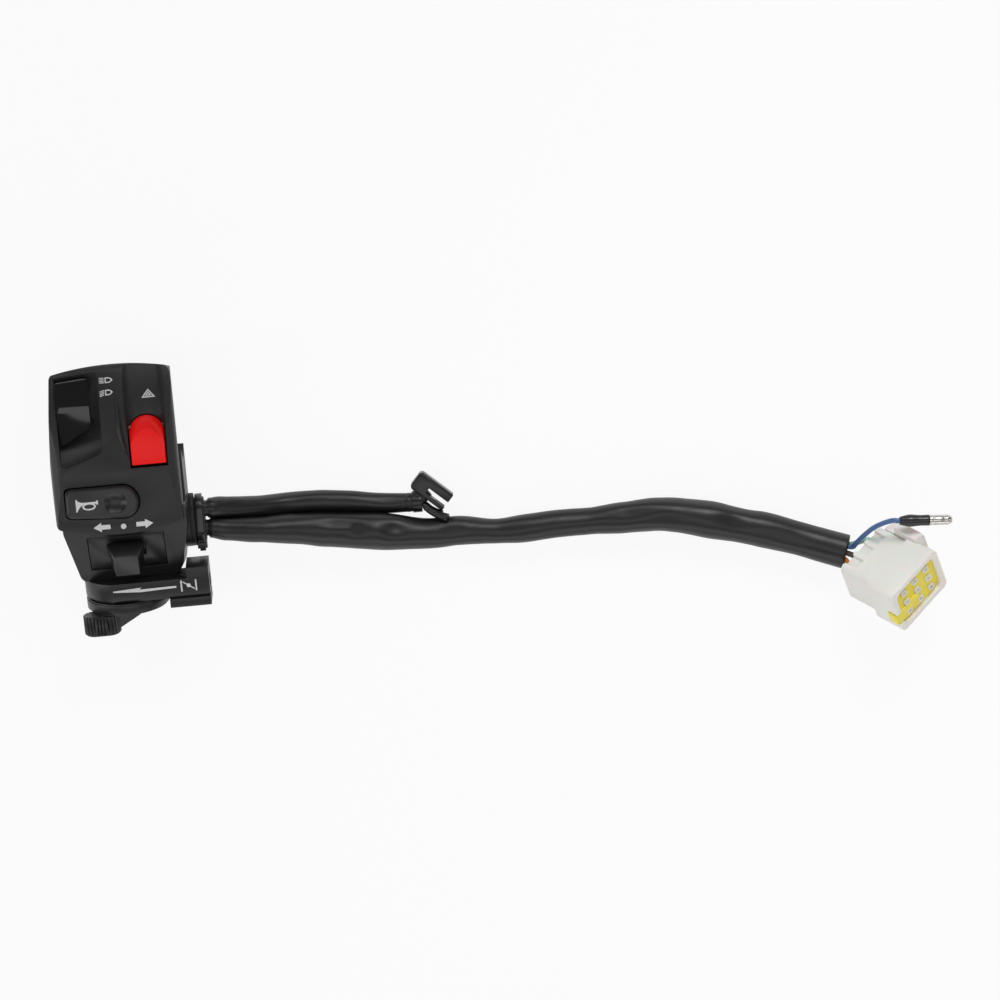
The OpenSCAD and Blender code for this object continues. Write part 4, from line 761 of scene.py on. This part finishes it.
def layMark(name, mark):
    drawing = bpy.data.curves.new(name, "CURVE")
    drawing.dimensions, drawing.fill_mode = "2D", "BOTH"
    for line in mark["lines"]:
        spline = drawing.splines.new("POLY")
        spline.points.add(len(line) - 1)
        for point, (x, y) in zip(spline.points, line):
            point.co = (x * mm, y * mm, 0, 1)
        spline.use_cyclic_u = True
    sheet = bpy.data.objects.new(name, drawing)
    scene.collection.objects.link(sheet)
    pick(sheet)
    bpy.ops.object.convert(target="MESH")
    sheet = bpy.context.object
    bpy.ops.object.mode_set(mode="EDIT")
    bpy.ops.mesh.select_all(action="SELECT")
    bpy.ops.mesh.subdivide(number_cuts=mark.get("cuts", printFilm["cuts"]))
    bpy.ops.transform.translate(value=(mark["at"][0] * mm, mark["at"][1] * mm, printFilm["drop"]))
    bpy.ops.object.mode_set(mode="OBJECT")
    lay = sheet.modifiers.new("lay", "SHRINKWRAP")
    lay.target, lay.wrap_method = made[mark["on"]], "PROJECT"
    lay.use_project_z, lay.use_positive_direction, lay.use_negative_direction = True, False, True
    lay.offset = printFilm["lift"] + mark.get("lift", 0) * mm
    bpy.ops.object.modifier_apply(modifier="lay")
    film = sheet.modifiers.new("film", "SOLIDIFY")
    film.thickness, film.offset = printFilm["thick"], -1
    bpy.ops.object.modifier_apply(modifier="film")
    faceOutwards(sheet)
    wear(sheet, "mark", mark["body"])


for name, mark in printedMarks.items():
    layMark(name, mark)
print("printed marks:", len(printedMarks))
# bench and lamps, in metres and watts

benchLook = {"centre": (0.14, -0.04), "height": -0.0181, "size": 6.0, "tint": 0.9, "rough": 0.6,
             "whitened": 0.9}
clusterAim = (0.12, -0.04, 0)
studioLamps = {
    "topSoftbox": {"at": (0.1, -0.25, 1.48), "aim": clusterAim, "size": (1.6, 0.7), "power": 4},
    "frontSoftbox": {"at": (0.1, -1.2, 0.6), "aim": clusterAim, "size": (2.6, 0.7), "power": 8},
    "backSoftbox": {"at": (0.1, 1.05, 0.85), "aim": clusterAim, "size": (2.0, 0.5), "power": 5.5},
    "leftStrip": {"at": (-1.0, -0.1, 0.6), "aim": (0, -0.03, 0), "size": (0.12, 1.2), "power": 3},
    "rightStrip": {"at": (1.35, -0.2, 0.6), "aim": (0.25, -0.05, 0), "size": (0.25, 1.2), "power": 1.5},
    "plugSoftbox": {"at": (0.42, 0.55, 0.6), "aim": (0.285, -0.075, 0), "size": (0.3, 0.3), "power": 0.13,
                    "spread": 40}}
studioWorld = {"tint": (1, 1, 1, 1), "strength": 0.14}


def addBench(look):
    bpy.ops.mesh.primitive_plane_add(size=look["size"], location=(*look["centre"], look["height"]))
    bench = bpy.context.object
    bench.name = "bench"
    paint = Look("benchPaper")
    paint.feed(color=grey(look["tint"]), rough=look["rough"])
    tree, path = paint.tree, paint.node("ShaderNodeLightPath")
    seen = path.part("Is Camera Ray")
    for ray in ("Is Glossy Ray", "Is Transmission Ray"):
        seen = paint.node("ShaderNodeMath", {"operation": "MAXIMUM"}, {0: seen, 1: path.part(ray)})
    glow = paint.node("ShaderNodeEmission", None, {"Color": grey(1.0), "Strength": 1.0})
    blend = paint.node("ShaderNodeMixShader", None, {0: seen * look["whitened"]})
    tree.links.new(paint.shader.outputs[0], blend.out.node.inputs[1])
    tree.links.new(glow.out, blend.out.node.inputs[2])
    tree.links.new(blend.out, tree.nodes["Material Output"].inputs["Surface"])
    bench.data.materials.append(paint.material)


def addLamp(name, look):
    bpy.ops.object.light_add(type="AREA", location=look["at"])
    lamp = bpy.context.object
    lamp.name = name
    lamp.data.shape = "RECTANGLE"
    lamp.data.size, lamp.data.size_y = look["size"]
    lamp.data.energy, lamp.data.spread = look["power"], math.radians(look.get("spread", 180))
    lamp.rotation_euler = (Vector(look["aim"]) - Vector(look["at"])).to_track_quat("-Z", "Y").to_euler()


def addWorld(look):
    scene.world = bpy.data.worlds.new("studio")
    scene.world.use_nodes = True
    sky = scene.world.node_tree.nodes["Background"]
    sky.inputs["Color"].default_value, sky.inputs["Strength"].default_value = look["tint"], look["strength"]


addBench(benchLook)
for name, look in studioLamps.items():
    addLamp(name, look)
addWorld(studioWorld)
print("bench and lamps set")
